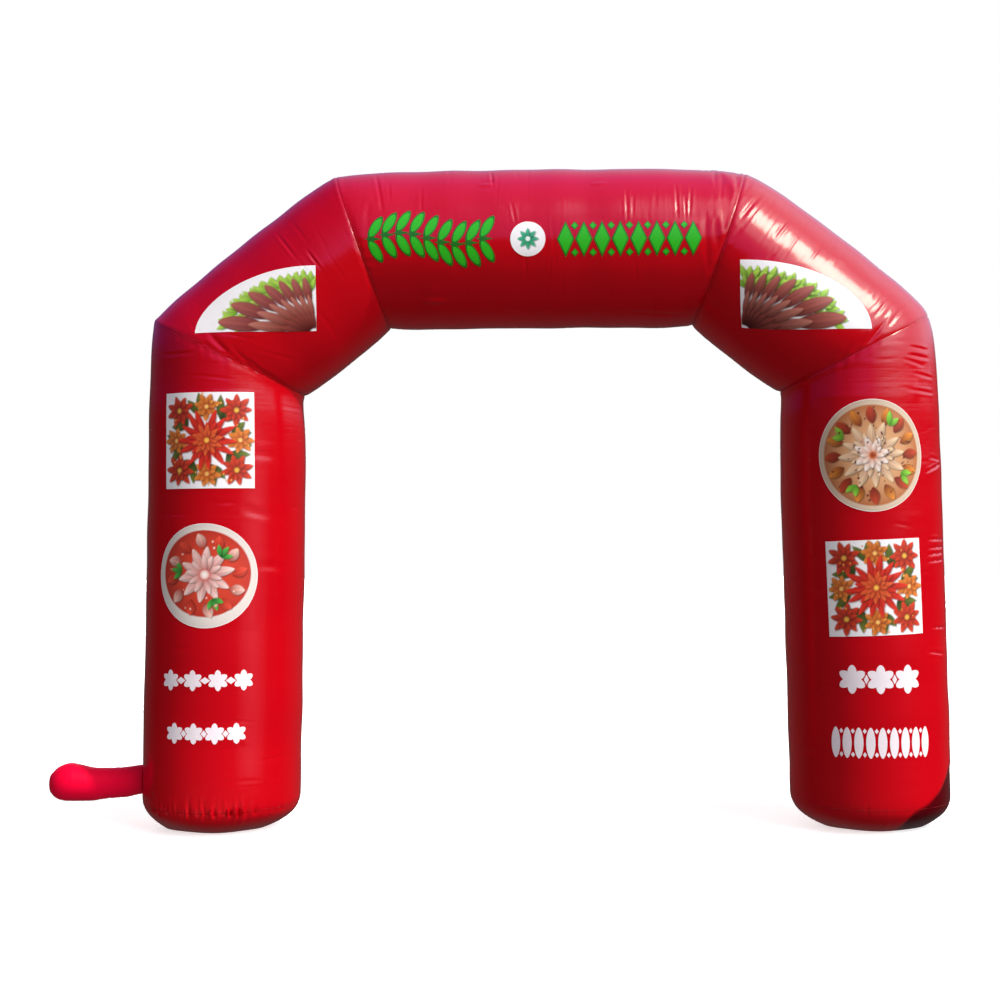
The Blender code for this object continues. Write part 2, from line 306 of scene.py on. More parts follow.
Band = namedtuple("Band", "name tube x z width height turn count kind")
BANDS = (  # rows of ornament in place of any lettering
    Band("beam_garland", "top_beam", -0.80, 4.285, 0.90, 0.40, 0, 9, "garland"),
    Band("beam_lozenges", "top_beam", 0.635, 4.27, 1.04, 0.26, 0, 8, "lozenge"),
    Band("left_leg_flowers_upper", "left_leg", -2.42, 1.135, 0.74, 0.15, 0, 4, "flower"),
    Band("left_leg_flowers_lower", "left_leg", -2.43, 0.755, 0.62, 0.15, 0, 4, "flower"),
    Band("right_leg_flowers", "right_leg", 2.385, 1.12, 0.60, 0.205, 0, 3, "flower"),
    Band("right_leg_leaves", "right_leg", 2.395, 0.67, 0.75, 0.22, 0, 9, "leaf"),
)


def linear(color):
    """An sRGB hex colour as linear RGBA, by the standard's curve."""
    channels = [int(color[i : i + 2], 16) / 255 for i in (0, 2, 4)]
    return [c / 12.92 if c <= 0.04045 else ((c + 0.055) / 1.055) ** 2.4 for c in channels] + [1.0]


def color_property(name, description, color):
    """A colour that a user may change."""
    return FloatVectorProperty(
        name=name, description=description, subtype="COLOR", size=4, min=0, max=1, default=linear(color)
    )


def length_property(name, description, default):
    """A length that a user may change."""
    return FloatProperty(name=name, description=description, unit="LENGTH", min=0, default=default)


class ArchSizes(bpy.types.PropertyGroup):
    """Sizes of the arch."""

    tube_radius: length_property("Tube radius", "Radius of a full tube", (LEG_HIGH.y - LEG_LOW.y) / 2)
    outer_width: length_property("Outer width", "Over both legs at the ground", 6.0)
    knee_height: length_property("Knee height", "Where a leg's axis meets its shoulder's", 3.49)
    beam_height: length_property("Beam height", "The beam's axis", (BEAM_LOW.z + BEAM_HIGH.z) / 2)
    beam_axis: length_property("Beam axis", "Length of the beam's axis between its mitres", 2.65)
    leg_lean: length_property("Leg lean", "How far a knee stands inside its foot", 0.08)
    foot_seam: length_property("Foot seam", "Height of the gathered seam", 0.18)
    sleeve_height: length_property("Sleeve height", "The sleeve's axis at the leg", 0.352)
    gap: length_property("Gap", "Between pieces that meet", 0.0003)
    stitch_pitch: length_property("Stitch pitch", "From one stitch to the next", STITCH_PITCH)


class ArchColors(bpy.types.PropertyGroup):
    """Colours of the arch and its stage."""

    cloth: color_property("Cloth", "Coated cloth of the tubes", "C10212")
    foot: color_property("Foot cloth", "Coated cloth of the foot panels", "C10212")
    sleeve: color_property("Sleeve cloth", "Thinner cloth of the blower sleeve", "FF0238")
    thread: color_property("Thread", "Sewing thread", "B20814")
    green: color_property("Green ink", "Ornaments on the beam", "2AB015")
    dark_green: color_property("Dark green ink", "Edges of the beam's ornaments", "186A11")
    white: color_property("White ink", "Ornaments on the legs", "F2E6EC")
    floor: color_property("Floor", "Studio floor", "F4F4F4")


class ArchStage(bpy.types.PropertyGroup):
    """The camera's place and lens."""

    distance: length_property("Camera distance", "In front of the arch's plane", 13.0)
    height: length_property("Camera height", "Above the ground", 2.24)
    lens: FloatProperty(name="Lens", description="Focal length in millimetres", default=62.75)
    yaw: FloatProperty(name="Yaw", description="Turn to the right", subtype="ANGLE", default=-0.0243)
    pitch: FloatProperty(name="Pitch", description="Tilt upwards", subtype="ANGLE", default=0.0138)
    roll: FloatProperty(name="Roll", description="About the line of sight", subtype="ANGLE", default=-0.007)


# ---- the tubes' geometry


def unit(vector):
    """The vector at length 1."""
    return vector / np.linalg.norm(vector)


def axis_point(sizes, height):
    """The left leg's axis at a height."""
    side = sizes.outer_width / 2 - sizes.tube_radius - sizes.leg_lean * height / sizes.knee_height
    return np.array([MIDDLE_X - side, 0.0, height])


def mirrored(point):
    """The same point in the arch's other half."""
    return np.array([2 * MIDDLE_X - point[0], point[1], point[2]])


def arch_tubes(sizes):
    """The five tubes by name, from the left foot to the right foot."""
    corner = np.array([MIDDLE_X - sizes.beam_axis / 2, 0.0, sizes.beam_height])
    path = [axis_point(sizes, sizes.foot_seam), axis_point(sizes, sizes.knee_height), corner]
    path += [mirrored(point) for point in reversed(path)]
    names = ("left_leg", "left_shoulder", "top_beam", "right_shoulder", "right_leg")
    beside = (None, *names, None)
    runs = [unit(b - a) for a, b in zip(path, path[1:])]
    normals = [UP] + [unit(a + b) for a, b in zip(runs, runs[1:])] + [-UP]
    tubes = {}
    for i, name in enumerate(names):
        length = float(np.linalg.norm(path[i + 1] - path[i]))
        out = np.cross(runs[i], -FRONT)
        seams = MITRES.get((beside[i], name)), MITRES.get((name, beside[i + 2]))
        tubes[name] = Tube(name, path[i], runs[i], length, out, *normals[i : i + 2], *seams, TUBE_SEED + i)
    return tubes


def spokes(tube, angle):
    """Unit vectors from the axis. Angle 0 is the outside of the arch and a quarter turn is the front."""
    return np.cos(angle)[..., None] * tube.out + np.sin(angle)[..., None] * FRONT


def outside_share(angle):
    """1 on the arch's outside, and 0 from its front and back inwards."""
    return np.maximum(np.cos(angle), 0) ** 2


def inside_share(angle):
    """1 on the arch's inside, and 0 from its front and back outwards."""
    return np.maximum(-np.cos(angle), 0) ** 2


def blended(angle, outside, middle, inside):
    """A value that differs on the arch's outside, its front and back, and its inside."""
    return middle + (outside - middle) * outside_share(angle) + (inside - middle) * inside_share(angle)


def foot_inset(leg, height, angle):
    """How far a foot's cloth has curved in at a height."""
    deepest = blended(angle, *FEET[leg]) + FOOT_DIAGONAL * np.sin(2 * angle) ** 2
    curve = blended(angle, *FOOT_CURVES[leg])
    return deepest * np.clip(1 - height / FOOT_ROUNDING, 0, 1) ** curve


def tuck(x, height, angle):
    """0 outside the right foot's tuck and 1 inside it. x is in the front view from the arch's middle."""
    line = np.array(TUCK)[::-1]
    behind = np.clip((TUCK_TOP - np.sin(angle)) / (TUCK_TOP + TUCK_END), 0, 1)
    edge = np.interp(x, line[:, 0], line[:, 1]) * (1 - behind**TUCK_FALL)
    inside = np.clip((edge - height) / TUCK_BLUR + 0.5, 0, 1)
    inside = inside * inside * (3 - 2 * inside) * np.clip((x - line[0, 0]) / TUCK_START_FADE, 0, 1)
    return inside * np.clip((TUCK_FADE_END + np.sin(angle)) / (TUCK_FADE_END - TUCK_FADE_START), 0, 1)


def drawn_in(sizes, tube, seam, distance, angle):
    """How far a seam draws the cloth in, at a distance along the tube. A foot's seam is None."""
    distance = np.maximum(distance, 0)
    if seam is None:
        inset = foot_inset(tube.name, sizes.foot_seam + distance, angle)
        return inset + GATHERS[tube.name].draw * np.exp(-distance / FOOT_NEAR_REACH)
    broad = blended(angle, seam.outside, seam.side, seam.inside)
    reach = REACHES[tube.name]
    reach = blended(angle, reach.outside, reach.outside, reach.inside)
    return broad * np.exp(-distance / reach) + seam.valley * np.exp(-distance / VALLEY_REACH)


def nearest_turn(angle, middle):
    """The angle from a middle, within half a turn either way."""
    return (angle - middle + math.pi) % (2 * math.pi) - math.pi


def gathers(sizes, leg, angle, distance):
    """The pleats of a foot's seam: separate grooves of uneven depth and reach, closest at the front."""
    gather = GATHERS[leg]
    rng = np.random.default_rng(gather.seed)
    height = np.zeros(np.broadcast(angle, distance).shape)
    for _ in range(gather.count):
        if rng.random() < gather.front:
            middle = rng.normal(math.pi / 2, GATHER_SPREAD)
        else:
            middle = rng.uniform(0, 2 * math.pi)
        turned = nearest_turn(angle, middle)
        width = rng.uniform(*GATHER_WIDTHS)
        reach = rng.uniform(*GATHER_REACHES)
        depth = gather.depth * rng.uniform(GATHER_SHALLOWEST, 1)
        lean = rng.normal(0, GATHER_LEAN)
        arc = sizes.tube_radius * turned + lean * distance
        height += depth * trough(arc, width) * np.exp(-((distance / reach) ** 2))
    return height


def foot_base(leg):
    """The middle of a leg's foot seam."""
    return leg.start if leg.start_seam is None else leg.start + leg.length * leg.run


def foot_folds(leg, sizes, height, angle):
    """The raised folds of a foot's panel."""
    lift = np.zeros_like(height)
    for fold in FOLDS[leg.name]:
        aside = (MIDDLE_X + fold.x - foot_base(leg)[0]) / leg.out[0] / sizes.tube_radius
        arc = (angle - math.acos(aside)) * sizes.tube_radius
        across, along = arc / fold.width, (height - fold.height) / fold.reach
        lift += fold.lift * np.exp(-(across**2) - along**2)
    return lift


def tube_ends(sizes, tube, angle):
    """Where the cloth starts and stops along the tube, by the angle round it."""
    spoke = spokes(tube, angle)
    ends = []
    for normal, seam in ((tube.start_normal, tube.start_seam), (tube.end_normal, tube.end_seam)):
        radius = sizes.tube_radius - drawn_in(sizes, tube, seam, np.zeros_like(angle), angle)
        ends.append(-radius * (spoke @ normal) / (tube.run @ normal))
    return ends[0] + sizes.gap / 2, tube.length + ends[1] - sizes.gap / 2


def tube_rows(low, high):
    """Places along a tube for the rows of its grid, which stand closer at both ends."""
    near = np.array(END_ROWS)[:, None]
    margin = END_ROWS[-1] + ROW_STEP
    share = np.linspace(0, 1, int((high - low).max() / ROW_STEP))[:, None]
    return np.concatenate([low + near, low + margin + share * (high - low - 2 * margin), high - near[::-1]])


def front_place(sizes, tube, x, z):
    """The place along and the angle round a tube of a point in the front view."""
    point = np.array([MIDDLE_X + x, 0.0, z]) - tube.start
    along = float(point @ tube.run)
    aside = float(point @ tube.out) / sizes.tube_radius
    return along, math.pi / 2 - math.asin(max(-FRONT_LIMIT, min(FRONT_LIMIT, aside)))


def trough(distance, width):
    """A soft trough with a low lip on both sides, 1 deep."""
    share = distance / width
    return -(1 - share**2) * np.exp(-(share**2) / 2)


def add_crease(height, along, arc, start, end, depth, width):
    """Adds one crease between two places (along, arc) to the heights."""
    run = np.subtract(end, start)
    length = math.hypot(*run)
    share = ((along - start[0]) * run[0] + (arc - start[1]) * run[1]) / length**2
    away = ((along - start[0]) * run[1] - (arc - start[1]) * run[0]) / length
    near = (np.abs(away) < CREASE_CUT * width) & (share > 0) & (share < 1)
    taper = np.sin(math.pi * share[near]) ** CREASE_TAPER
    height[near] += depth * taper * trough(away[near], width)


def line_round(rng, lines, along, angle):
    """The ends, depth and width of one crease that runs round a tube, about a place on it."""
    half = rng.uniform(*lines.half_turns)
    slant = rng.normal(0, lines.slant)
    depth = rng.uniform(*lines.depths)
    width = rng.uniform(*lines.widths)
    return (along - slant, angle - half), (along + slant, angle + half), depth, width


def faint_creases(tube):
    """Many faint creases round the tube, the same at each run, and closer ripples on a shoulder."""
    rng = np.random.default_rng(tube.seed)
    for _ in range(int(FAINT_LINES_PER_METRE * tube.length)):
        along = rng.uniform(-FAINT_LINES_PAST, tube.length + FAINT_LINES_PAST)
        angle = rng.uniform(0, 2 * math.pi)
        yield line_round(rng, FAINT_LINES, along, angle)
    ripples = RIPPLES.get(tube.name)
    for i in range(ripples.count if ripples else 0):
        along = tube.length * (i + rng.uniform(0, 1)) / ripples.count
        angle = rng.normal(ripples.angle, ripples.spread)
        yield line_round(rng, ripples.lines, along, angle)


def placed_creases(sizes, tube):
    """The creases that are placed by hand on a tube, with their ends along and round it."""
    for crease in (Crease(*row) for row in CREASES[tube.name]):
        start = front_place(sizes, tube, crease.x0, crease.z0)
        end = front_place(sizes, tube, crease.x1, crease.z1)
        yield start, end, crease.depth, crease.width


def creased(sizes, tube, along, angle):
    """Height of the creases and billows on a tube at places along and round it."""
    along, angle = np.broadcast_arrays(along, angle)
    height = np.zeros(along.shape)
    radius = sizes.tube_radius
    for start, end, depth, width in (*faint_creases(tube), *placed_creases(sizes, tube)):
        middle = (start[1] + end[1]) / 2
        arc = radius * (nearest_turn(angle, middle) + middle)
        first, last = (start[0], radius * start[1]), (end[0], radius * end[1])
        add_crease(height, along, arc, first, last, depth, width)
    rng = np.random.default_rng(tube.seed + BILLOW_SEED)
    for _ in range(BILLOWS):
        turns = int(rng.integers(0, BILLOW_TURNS))
        wave = rng.uniform(*BILLOW_LENGTHS)
        phase = rng.uniform(0, 2 * math.pi)
        height += BILLOW_HEIGHT * rng.normal() * np.cos(turns * angle + 2 * math.pi * along / wave + phase)
    return height


def stiffened(sizes, tube, along, angle):
    """1 under a print, which holds the cloth smooth, and 0 away from it."""
    under = np.zeros(np.broadcast(along, angle).shape)
    aside = (math.pi / 2 - angle) * sizes.tube_radius
    x = tube.start[0] - MIDDLE_X + along * tube.run[0] + aside * tube.out[0]
    z = tube.start[2] + along * tube.run[2] + aside * tube.out[2]
    front = np.sin(angle) > 0
    for print_ in FILMS + BANDS:
        if print_.tube != tube.name:
            continue
        half = np.array([print_.width, print_.height]) / 2
        middle = np.array([print_.x, print_.z])
        if isinstance(print_, FilmPlace) and print_.shape.endswith("fan"):
            middle = middle + half * (-1 if print_.shape == "left_fan" else 1, 1)
        past = np.maximum(np.abs(x - middle[0]) - half[0], np.abs(z - middle[1]) - half[1])
        under = np.maximum(under, np.clip(0.5 - past / STIFF_EDGE, 0, 1) * front)
    return under


def pucker(tube, end, angle, distance):
    """Small pleats that run across a seam and die out."""
    rng = np.random.default_rng(tube.seed * PUCKER_SEED + end)
    pleats = np.zeros_like(angle)
    for _ in range(PUCKER_WAVES):
        turns = int(rng.integers(*PUCKER_COUNTS))
        phase = rng.uniform(0, 2 * math.pi)
        pleats += rng.normal() * np.cos(turns * angle + phase)
    strength = PUCKER / math.sqrt(PUCKER_WAVES) * (1 + PUCKER_THIRDS * np.cos(3 * angle + end))
    return strength * pleats * np.exp(-distance / PUCKER_REACH) * (1 - np.exp(-distance / VALLEY_REACH))


SLACK = {}  # how far air moves each tube's cloth, once it's known, by shares along it and angles round it


def slack_at(tube, share, angle):
    """The move at shares of the way along and angles round the tube, on smooth curves."""
    if tube.name not in SLACK:
        return 0.0
    shares, moves = SLACK[tube.name]
    rows, columns = moves.shape
    row = np.interp(share, shares, np.arange(rows))
    column = (angle / (2 * math.pi) * columns) % columns
    found = 0.0
    for axis_row, row_weight in cubic_weights(row):
        for axis_column, column_weight in cubic_weights(column):
            known = moves[np.clip(axis_row, 0, rows - 1), axis_column % columns]
            found = found + row_weight * column_weight * known
    return found


def cubic_weights(place):
    """The four grid lines about a place, with their weights on a smooth cubic curve."""
    line = np.floor(place).astype(int)
    t = place - line
    yield line - 1, (1 - t) ** 3 / 6
    yield line, (3 * t**3 - 6 * t**2 + 4) / 6
    yield line + 1, (-3 * t**3 + 3 * t**2 + 3 * t + 1) / 6
    yield line + 2, t**3 / 6


def blow_up(sizes, tube):
    """Fills a tube with air in a cloth simulation, its seams held, and keeps how far the cloth moved."""
    angle = round_angles(AIR_COLUMNS)
    low, high = tube_ends(sizes, tube, angle)
    longest = float((high - low).max())
    near = np.arange(0, AIR_NEAR, AIR_ROW_NEAR)
    far = np.linspace(AIR_NEAR, longest - AIR_NEAR, round((longest - 2 * AIR_NEAR) / AIR_ROW_FAR))
    shares = np.concatenate([near, far, longest - near[::-1]]) / longest
    along = low + shares[:, None] * (high - low)
    rings = tube_surface(sizes, tube, along, angle)
    rows = len(shares)
    mesh = bpy.data.meshes.new("air_grid")
    mesh.from_pydata(rings.reshape(-1, 3), [], ring_faces(rows, AIR_COLUMNS)[0].tolist())
    grid = bpy.data.objects.new("air_grid", mesh)
    bpy.context.scene.collection.objects.link(grid)
    seams = grid.vertex_groups.new(name="seams")
    points = list(range(rows * AIR_COLUMNS))
    seams.add(points[:AIR_COLUMNS] + points[-AIR_COLUMNS:], 1.0, "REPLACE")
    cloth = grid.modifiers.new("air", "CLOTH")
    for key, value in AIR_CLOTH.items():
        setattr(cloth.settings, key, value)
    cloth.settings.effector_weights.gravity = 0
    cloth.settings.vertex_group_mass = "seams"
    cloth.collision_settings.use_collision = False
    cloth.collision_settings.use_self_collision = False
    cloth.point_cache.frame_start = 1
    cloth.point_cache.frame_end = AIR_FRAMES
    for frame_number in range(1, AIR_FRAMES + 1):
        bpy.context.scene.frame_set(frame_number)
    filled = grid.evaluated_get(bpy.context.evaluated_depsgraph_get()).data
    places = np.zeros(rings.size, np.float32)
    filled.vertices.foreach_get("co", places)
    moves = ((places.reshape(rings.shape) - rings) * spokes(tube, angle)).sum(-1)
    if not np.isfinite(moves).all():
        raise RuntimeError(f"the cloth of {tube.name} came apart")
    moves -= moves.mean(1, keepdims=True)
    moves = np.clip(moves, -AIR_LIMIT, AIR_LIMIT) * AIR_SHARES.get(tube.name, 1)
    if not (tube.start_seam and tube.end_seam):
        from_foot = (1 - shares if tube.start_seam else shares) * longest
        moves *= np.clip(from_foot / AIR_FOOT_REACH, 0, 1)[:, None] ** 2
    bpy.data.objects.remove(grid)
    bpy.data.meshes.remove(mesh)
    bpy.context.scene.frame_set(1)
    SLACK[tube.name] = (shares, moves)


def tube_radius_at(sizes, tube, along, angle):
    """The cloth's distance from the tube's axis, with all that seams, creases and air do to it."""
    low, high = tube_ends(sizes, tube, angle)
    from_start, to_end = along - low, high - along
    radius = sizes.tube_radius - drawn_in(sizes, tube, tube.start_seam, from_start, angle)
    radius = radius - drawn_in(sizes, tube, tube.end_seam, to_end, angle)
    nearest = np.minimum(from_start, to_end)
    fade = 1 - np.exp(-((np.maximum(nearest, 0) / CREASES_START) ** 2))
    slack = 1 - STIFFNESS * stiffened(sizes, tube, along, angle)
    radius = radius + fade * slack * creased(sizes, tube, along, angle)
    middle = np.sin(math.pi * np.clip(from_start / (high - low), 0, 1)) ** 2
    outside, inside = SWELLS[tube.name]
    radius = radius + middle * blended(angle, outside, (outside + inside) / 2, inside)
    radius = radius + slack * slack_at(tube, from_start / (high - low), angle)
    for end, (seam, distance) in enumerate(((tube.start_seam, from_start), (tube.end_seam, to_end))):
        distance = np.maximum(distance, 0)
        if seam:
            radius = radius + pucker(tube, end, angle, distance)
        else:
            radius = radius + gathers(sizes, tube.name, angle, distance)
            radius = radius - TUCK_DEPTH * leg_tuck(sizes, tube, along, angle)
    if tube.name.endswith("leg"):
        below = np.maximum(to_end if tube.end_seam else from_start, 0) / KNEE_WAIST_DEPTH
        radius = radius - KNEE_WAIST * inside_share(angle) * below * np.exp(1 - below)
    return radius


def leg_tuck(sizes, tube, along, angle):
    """The tuck's share on the right leg. There is none on the other tubes."""
    if tube.name != "right_leg":
        return 0.0
    aside = np.cos(angle) * sizes.tube_radius
    x = tube.start[0] - MIDDLE_X + along * tube.run[0] + aside * tube.out[0]
    height = tube.start[2] + along * tube.run[2] + aside * tube.out[2]
    return tuck(x, height, angle)


def tube_surface(sizes, tube, along, angle, lift=0.0):
    """Points of the tube's cloth, or lift metres above it."""
    along, angle = np.broadcast_arrays(along, angle)
    radius = tube_radius_at(sizes, tube, along, angle) + lift
    return tube.start + along[..., None] * tube.run + radius[..., None] * spokes(tube, angle)


# ---- meshes


def mesh_piece(name, points, faces, material):
    """A smooth-shaded piece at the origin."""
    mesh = bpy.data.meshes.new(name)
    mesh.from_pydata(np.asarray(points).reshape(-1, 3), [], faces)
    mesh.materials.append(material)
    mesh.shade_smooth()
    piece = bpy.data.objects.new(name, mesh)
    bpy.context.scene.collection.objects.link(piece)
    return piece


def round_angles(columns, crowding=0.0):
    """Angles round a tube, closer together at the front by the crowding."""
    turn = 2 * math.pi * np.arange(columns) / columns
    return turn + crowding * np.cos(turn)


def ring_faces(rows, columns):
    """Quads of a grid that closes round its columns, then the row and column of each corner."""
    row, column = np.meshgrid(np.arange(rows - 1), np.arange(columns), indexing="ij")
    corner_row = np.stack([row, row, row + 1, row + 1], -1).reshape(-1, 4)
    corner_column = np.stack([column, column + 1, column + 1, column], -1).reshape(-1, 4)
    return corner_row * columns + corner_column % columns, corner_row, corner_column


def closed_skin(name, rings, radius, angle, along, material, soil=None):
    """A closed skin through rings of points, with a fan over each end. Its attribute cloth_place is the
    place on a straight round tube, its UV map holds the arc and the length, all in metres, and the last
    argument, 0 to 1, darkens the cloth's colour as painted shade."""
    wide = np.broadcast_to(angle, along.shape)
    places = np.stack([radius * np.cos(wide), radius * np.sin(wide), along], -1)
    rows, columns = rings.shape[:2]
    quads, corner_row, corner_column = ring_faces(rows, columns)
    first, last = rings[0].mean(0), rings[-1].mean(0)
    points = np.concatenate([rings.reshape(-1, 3), [first, last]])
    low, high = rows * columns, rows * columns + 1
    top = (rows - 1) * columns
    ring = list(range(columns))
    fans = [(low, (i + 1) % columns, i) for i in ring]
    fans += [(high, top + i, top + (i + 1) % columns) for i in ring]
    piece = mesh_piece(name, points, quads.tolist() + fans, material)
    mesh = piece.data
    ends = np.stack([places[0].mean(0), places[-1].mean(0)])
    place = np.concatenate([places.reshape(-1, 3), ends]).astype(np.float32)
    attribute = mesh.attributes.new("cloth_place", "FLOAT_VECTOR", "POINT")
    attribute.data.foreach_set("vector", place.ravel())
    # painted shade at each point, 0 where none is given
    tuck_shaded = np.zeros(len(place), np.float32)
    if soil is not None:
        tuck_shaded[: rows * columns] = soil.ravel()
    mesh.attributes.new("soil", "FLOAT", "POINT").data.foreach_set("value", tuck_shaded)
    arc = radius * np.append(angle, angle[0] + 2 * math.pi)
    quad_uv = np.stack([arc[corner_column], along[corner_row, corner_column % columns]], -1).reshape(-1, 2)
    fan_points = np.array(fans).ravel()
    fan_uv = place[fan_points][:, :2]
    layer = mesh.uv_layers.new(name="cloth")
    layer.data.foreach_set("uv", np.concatenate([quad_uv, fan_uv]).astype(np.float32).ravel())
    mesh.set_sharp_from_angle(angle=SHARP_SKIN)
    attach(piece, BODY)
    return piece


# ---- materials

CLOUDS = 1.6  # darker patches in a metre of cloth
LINES_ROUND = (1.3, 1.3, 32.0)  # lines in a metre: long across a tube, and 30 mm apart along it
GRAINS = 260.0  # in a metre of film
THREAD_SPACING = 0.003
WAVE_UNIT = 20  # radians in a metre at a wave texture's scale of 1
DOT_SPACING = 0.008
FIBRE_SPACING = 0.0025
CLOTH_SHADE = 0.86  # of its colour where the cloth is darkest
THREAD_SHADE = 0.6


def add_node(tree, kind, settings=None, inputs=None):
    """Adds a node with its settings and its inputs, which are values or the sockets that feed them."""
    made = tree.nodes.new(kind)
    for key, value in (settings or {}).items():
        setattr(made, key, value)
    for key, value in (inputs or {}).items():
        if isinstance(value, bpy.types.NodeSocket):
            tree.links.new(value, made.inputs[key])
        else:
            made.inputs[key].default_value = value
    return made


def new_material(name):
    """A material with an empty node tree."""
    material = bpy.data.materials.new(name)
    material.use_nodes = True
    material.node_tree.nodes.clear()
    return material, material.node_tree


def coated_cloth(name, color, roughness, gloss=0.5):
    """Polyester cloth with a glossy polyurethane coat on its outside. The coat gives clear soft
    reflections, and slack cloth under it gives fine lines that run round the tube."""
    material, tree = new_material(name)
    place = add_node(tree, "ShaderNodeAttribute", {"attribute_name": "cloth_place"}).outputs["Vector"]
    values = {"Vector": place, "Scale": CLOUDS, "Detail": 3.0, "Roughness": 0.5}
    cloud = add_node(tree, "ShaderNodeTexNoise", inputs=values).outputs["Fac"]
    darker = [channel * CLOTH_SHADE for channel in color[:3]] + [1.0]
    values = {"Factor": cloud, "A": darker, "B": color}
    mixed = add_node(tree, "ShaderNodeMix", {"data_type": "RGBA"}, values).outputs["Result"]
    # Painted shade: where the share is 1 the colour turns to the tuck's dark colour, which stands for the
    # shadow in the folded-under corner.
    soil = add_node(tree, "ShaderNodeAttribute", {"attribute_name": "soil"}).outputs["Fac"]
    values = {"Factor": soil, "A": mixed, "B": linear(TUCK_SHADE_COLOR)}
    tuck_shaded = add_node(tree, "ShaderNodeMix", {"data_type": "RGBA"}, values).outputs["Result"]
    values = {"Vector": place, "Scale": LINES_ROUND}
    stretched = add_node(tree, "ShaderNodeMapping", inputs=values).outputs["Vector"]
    values = {"Vector": stretched, "Scale": 1.0, "Detail": 4.0, "Roughness": 0.6}
    lines = add_node(tree, "ShaderNodeTexNoise", inputs=values).outputs["Fac"]
    values = {"Value": lines, "To Min": roughness - 0.04, "To Max": roughness + 0.05}
    rough = add_node(tree, "ShaderNodeMapRange", inputs=values).outputs["Result"]
    # Threads are 0.5 mm apart and too fine to show, so they are drawn 3 mm apart.
    uv = add_node(tree, "ShaderNodeUVMap", {"uv_map": "cloth"}).outputs["UV"]
    values = {"Vector": uv, "Scale": 2 * math.pi / THREAD_SPACING / WAVE_UNIT, "Distortion": 0.4}
    threads = [
        add_node(tree, "ShaderNodeTexWave", {"bands_direction": axis, "wave_profile": "SIN"}, values)
        for axis in ("X", "Y")
    ]
    values = {number: thread.outputs["Fac"] for number, thread in enumerate(threads)}
    weave = add_node(tree, "ShaderNodeMath", {"operation": "MULTIPLY"}, values).outputs["Value"]
    values = {"Height": weave, "Distance": 0.0001, "Strength": 0.35}
    fine = add_node(tree, "ShaderNodeBump", inputs=values).outputs["Normal"]
    values = {"Height": lines, "Distance": 0.0022, "Strength": 0.5, "Normal": fine}
    bump = add_node(tree, "ShaderNodeBump", inputs=values).outputs["Normal"]
    values = {"Base Color": tuck_shaded, "Roughness": rough, "Normal": bump, "IOR": 1.5}
    values |= {"Specular IOR Level": gloss, "Coat Weight": 0.3 * gloss, "Coat Roughness": 0.1}
    shader = add_node(tree, "ShaderNodeBsdfPrincipled", inputs=values)
    add_node(tree, "ShaderNodeOutputMaterial", inputs={"Surface": shader.outputs["BSDF"]})
    return material


def printed_vinyl(name):
    """Vinyl film with solvent ink, heat-pressed on the cloth: satin, smoother than the cloth, and a little
    mottled by the print's dots, which are drawn 8 mm apart because the real ones are too fine to show."""
    material, tree = new_material(name)
    ink = add_node(tree, "ShaderNodeAttribute", {"attribute_name": "ink"}).outputs["Color"]
    place = add_node(tree, "ShaderNodeTexCoord").outputs["Object"]
    values = {"Vector": place, "Scale": 1 / DOT_SPACING, "Detail": 3.0, "Roughness": 0.6}
    dots = add_node(tree, "ShaderNodeTexNoise", inputs=values).outputs["Fac"]
    values = {"Value": dots, "To Min": 0.84, "To Max": 1.12}
    level = add_node(tree, "ShaderNodeMapRange", inputs=values).outputs["Result"]
    values = {0: ink, "Scale": level}
    mottled = add_node(tree, "ShaderNodeVectorMath", {"operation": "SCALE"}, values).outputs["Vector"]
    values = {"Vector": place, "Scale": GRAINS, "Detail": 2.0}
    grain = add_node(tree, "ShaderNodeTexNoise", inputs=values).outputs["Fac"]
    values = {"Height": grain, "Distance": 0.0003, "Strength": 0.2}
    bump = add_node(tree, "ShaderNodeBump", inputs=values).outputs["Normal"]
    values = {"Base Color": mottled, "Roughness": 0.34, "Normal": bump}
    shader = add_node(tree, "ShaderNodeBsdfPrincipled", inputs=values)
    add_node(tree, "ShaderNodeOutputMaterial", inputs={"Surface": shader.outputs["BSDF"]})
    return material


def sewing_thread(color):
    """Bonded polyester thread: dull, with the twist of its plies."""
    material, tree = new_material("bonded_thread")
    place = add_node(tree, "ShaderNodeTexCoord").outputs["Object"]
    values = {"Vector": place, "Scale": 1 / FIBRE_SPACING, "Detail": 2.0}
    fibre = add_node(tree, "ShaderNodeTexNoise", inputs=values).outputs["Fac"]
    darker = [channel * THREAD_SHADE for channel in color[:3]] + [1.0]
    values = {"Factor": fibre, "A": darker, "B": color}
    mixed = add_node(tree, "ShaderNodeMix", {"data_type": "RGBA"}, values).outputs["Result"]
    shader = add_node(tree, "ShaderNodeBsdfPrincipled", inputs={"Base Color": mixed, "Roughness": 0.55})
    add_node(tree, "ShaderNodeOutputMaterial", inputs={"Surface": shader.outputs["BSDF"]})
    return material


# ---- pieces


def padded_piece(node):
    """Hides the frame's node that a soft piece replaces."""
    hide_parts(node)


class ARCH_OT_air_tubes(bpy.types.Operator):
    """Builds the five air-filled tubes with their drawn-in seams and creases"""

    bl_idname = "arch.air_tubes"
    bl_label = "Air tubes"

    def execute(self, context):
        sizes, colors = context.scene.arch_sizes, context.scene.arch_colors
        cloth = coated_cloth("coated_cloth", colors.cloth, roughness=0.17)
        angle = round_angles(COLUMNS, FRONT_CROWDING)
        for tube in arch_tubes(sizes).values():
            blow_up(sizes, tube)
            along = tube_rows(*tube_ends(sizes, tube, angle))
            rings = tube_surface(sizes, tube, along, angle)
            # The tuck's share also darkens the right leg's cloth colour, as painted shade.
            soil = leg_tuck(sizes, tube, along, angle) + 0 * along
            piece = closed_skin(tube.name + "_skin", rings, sizes.tube_radius, angle, along, cloth, soil)
            padded_piece(tube.name)
        return {"FINISHED"}


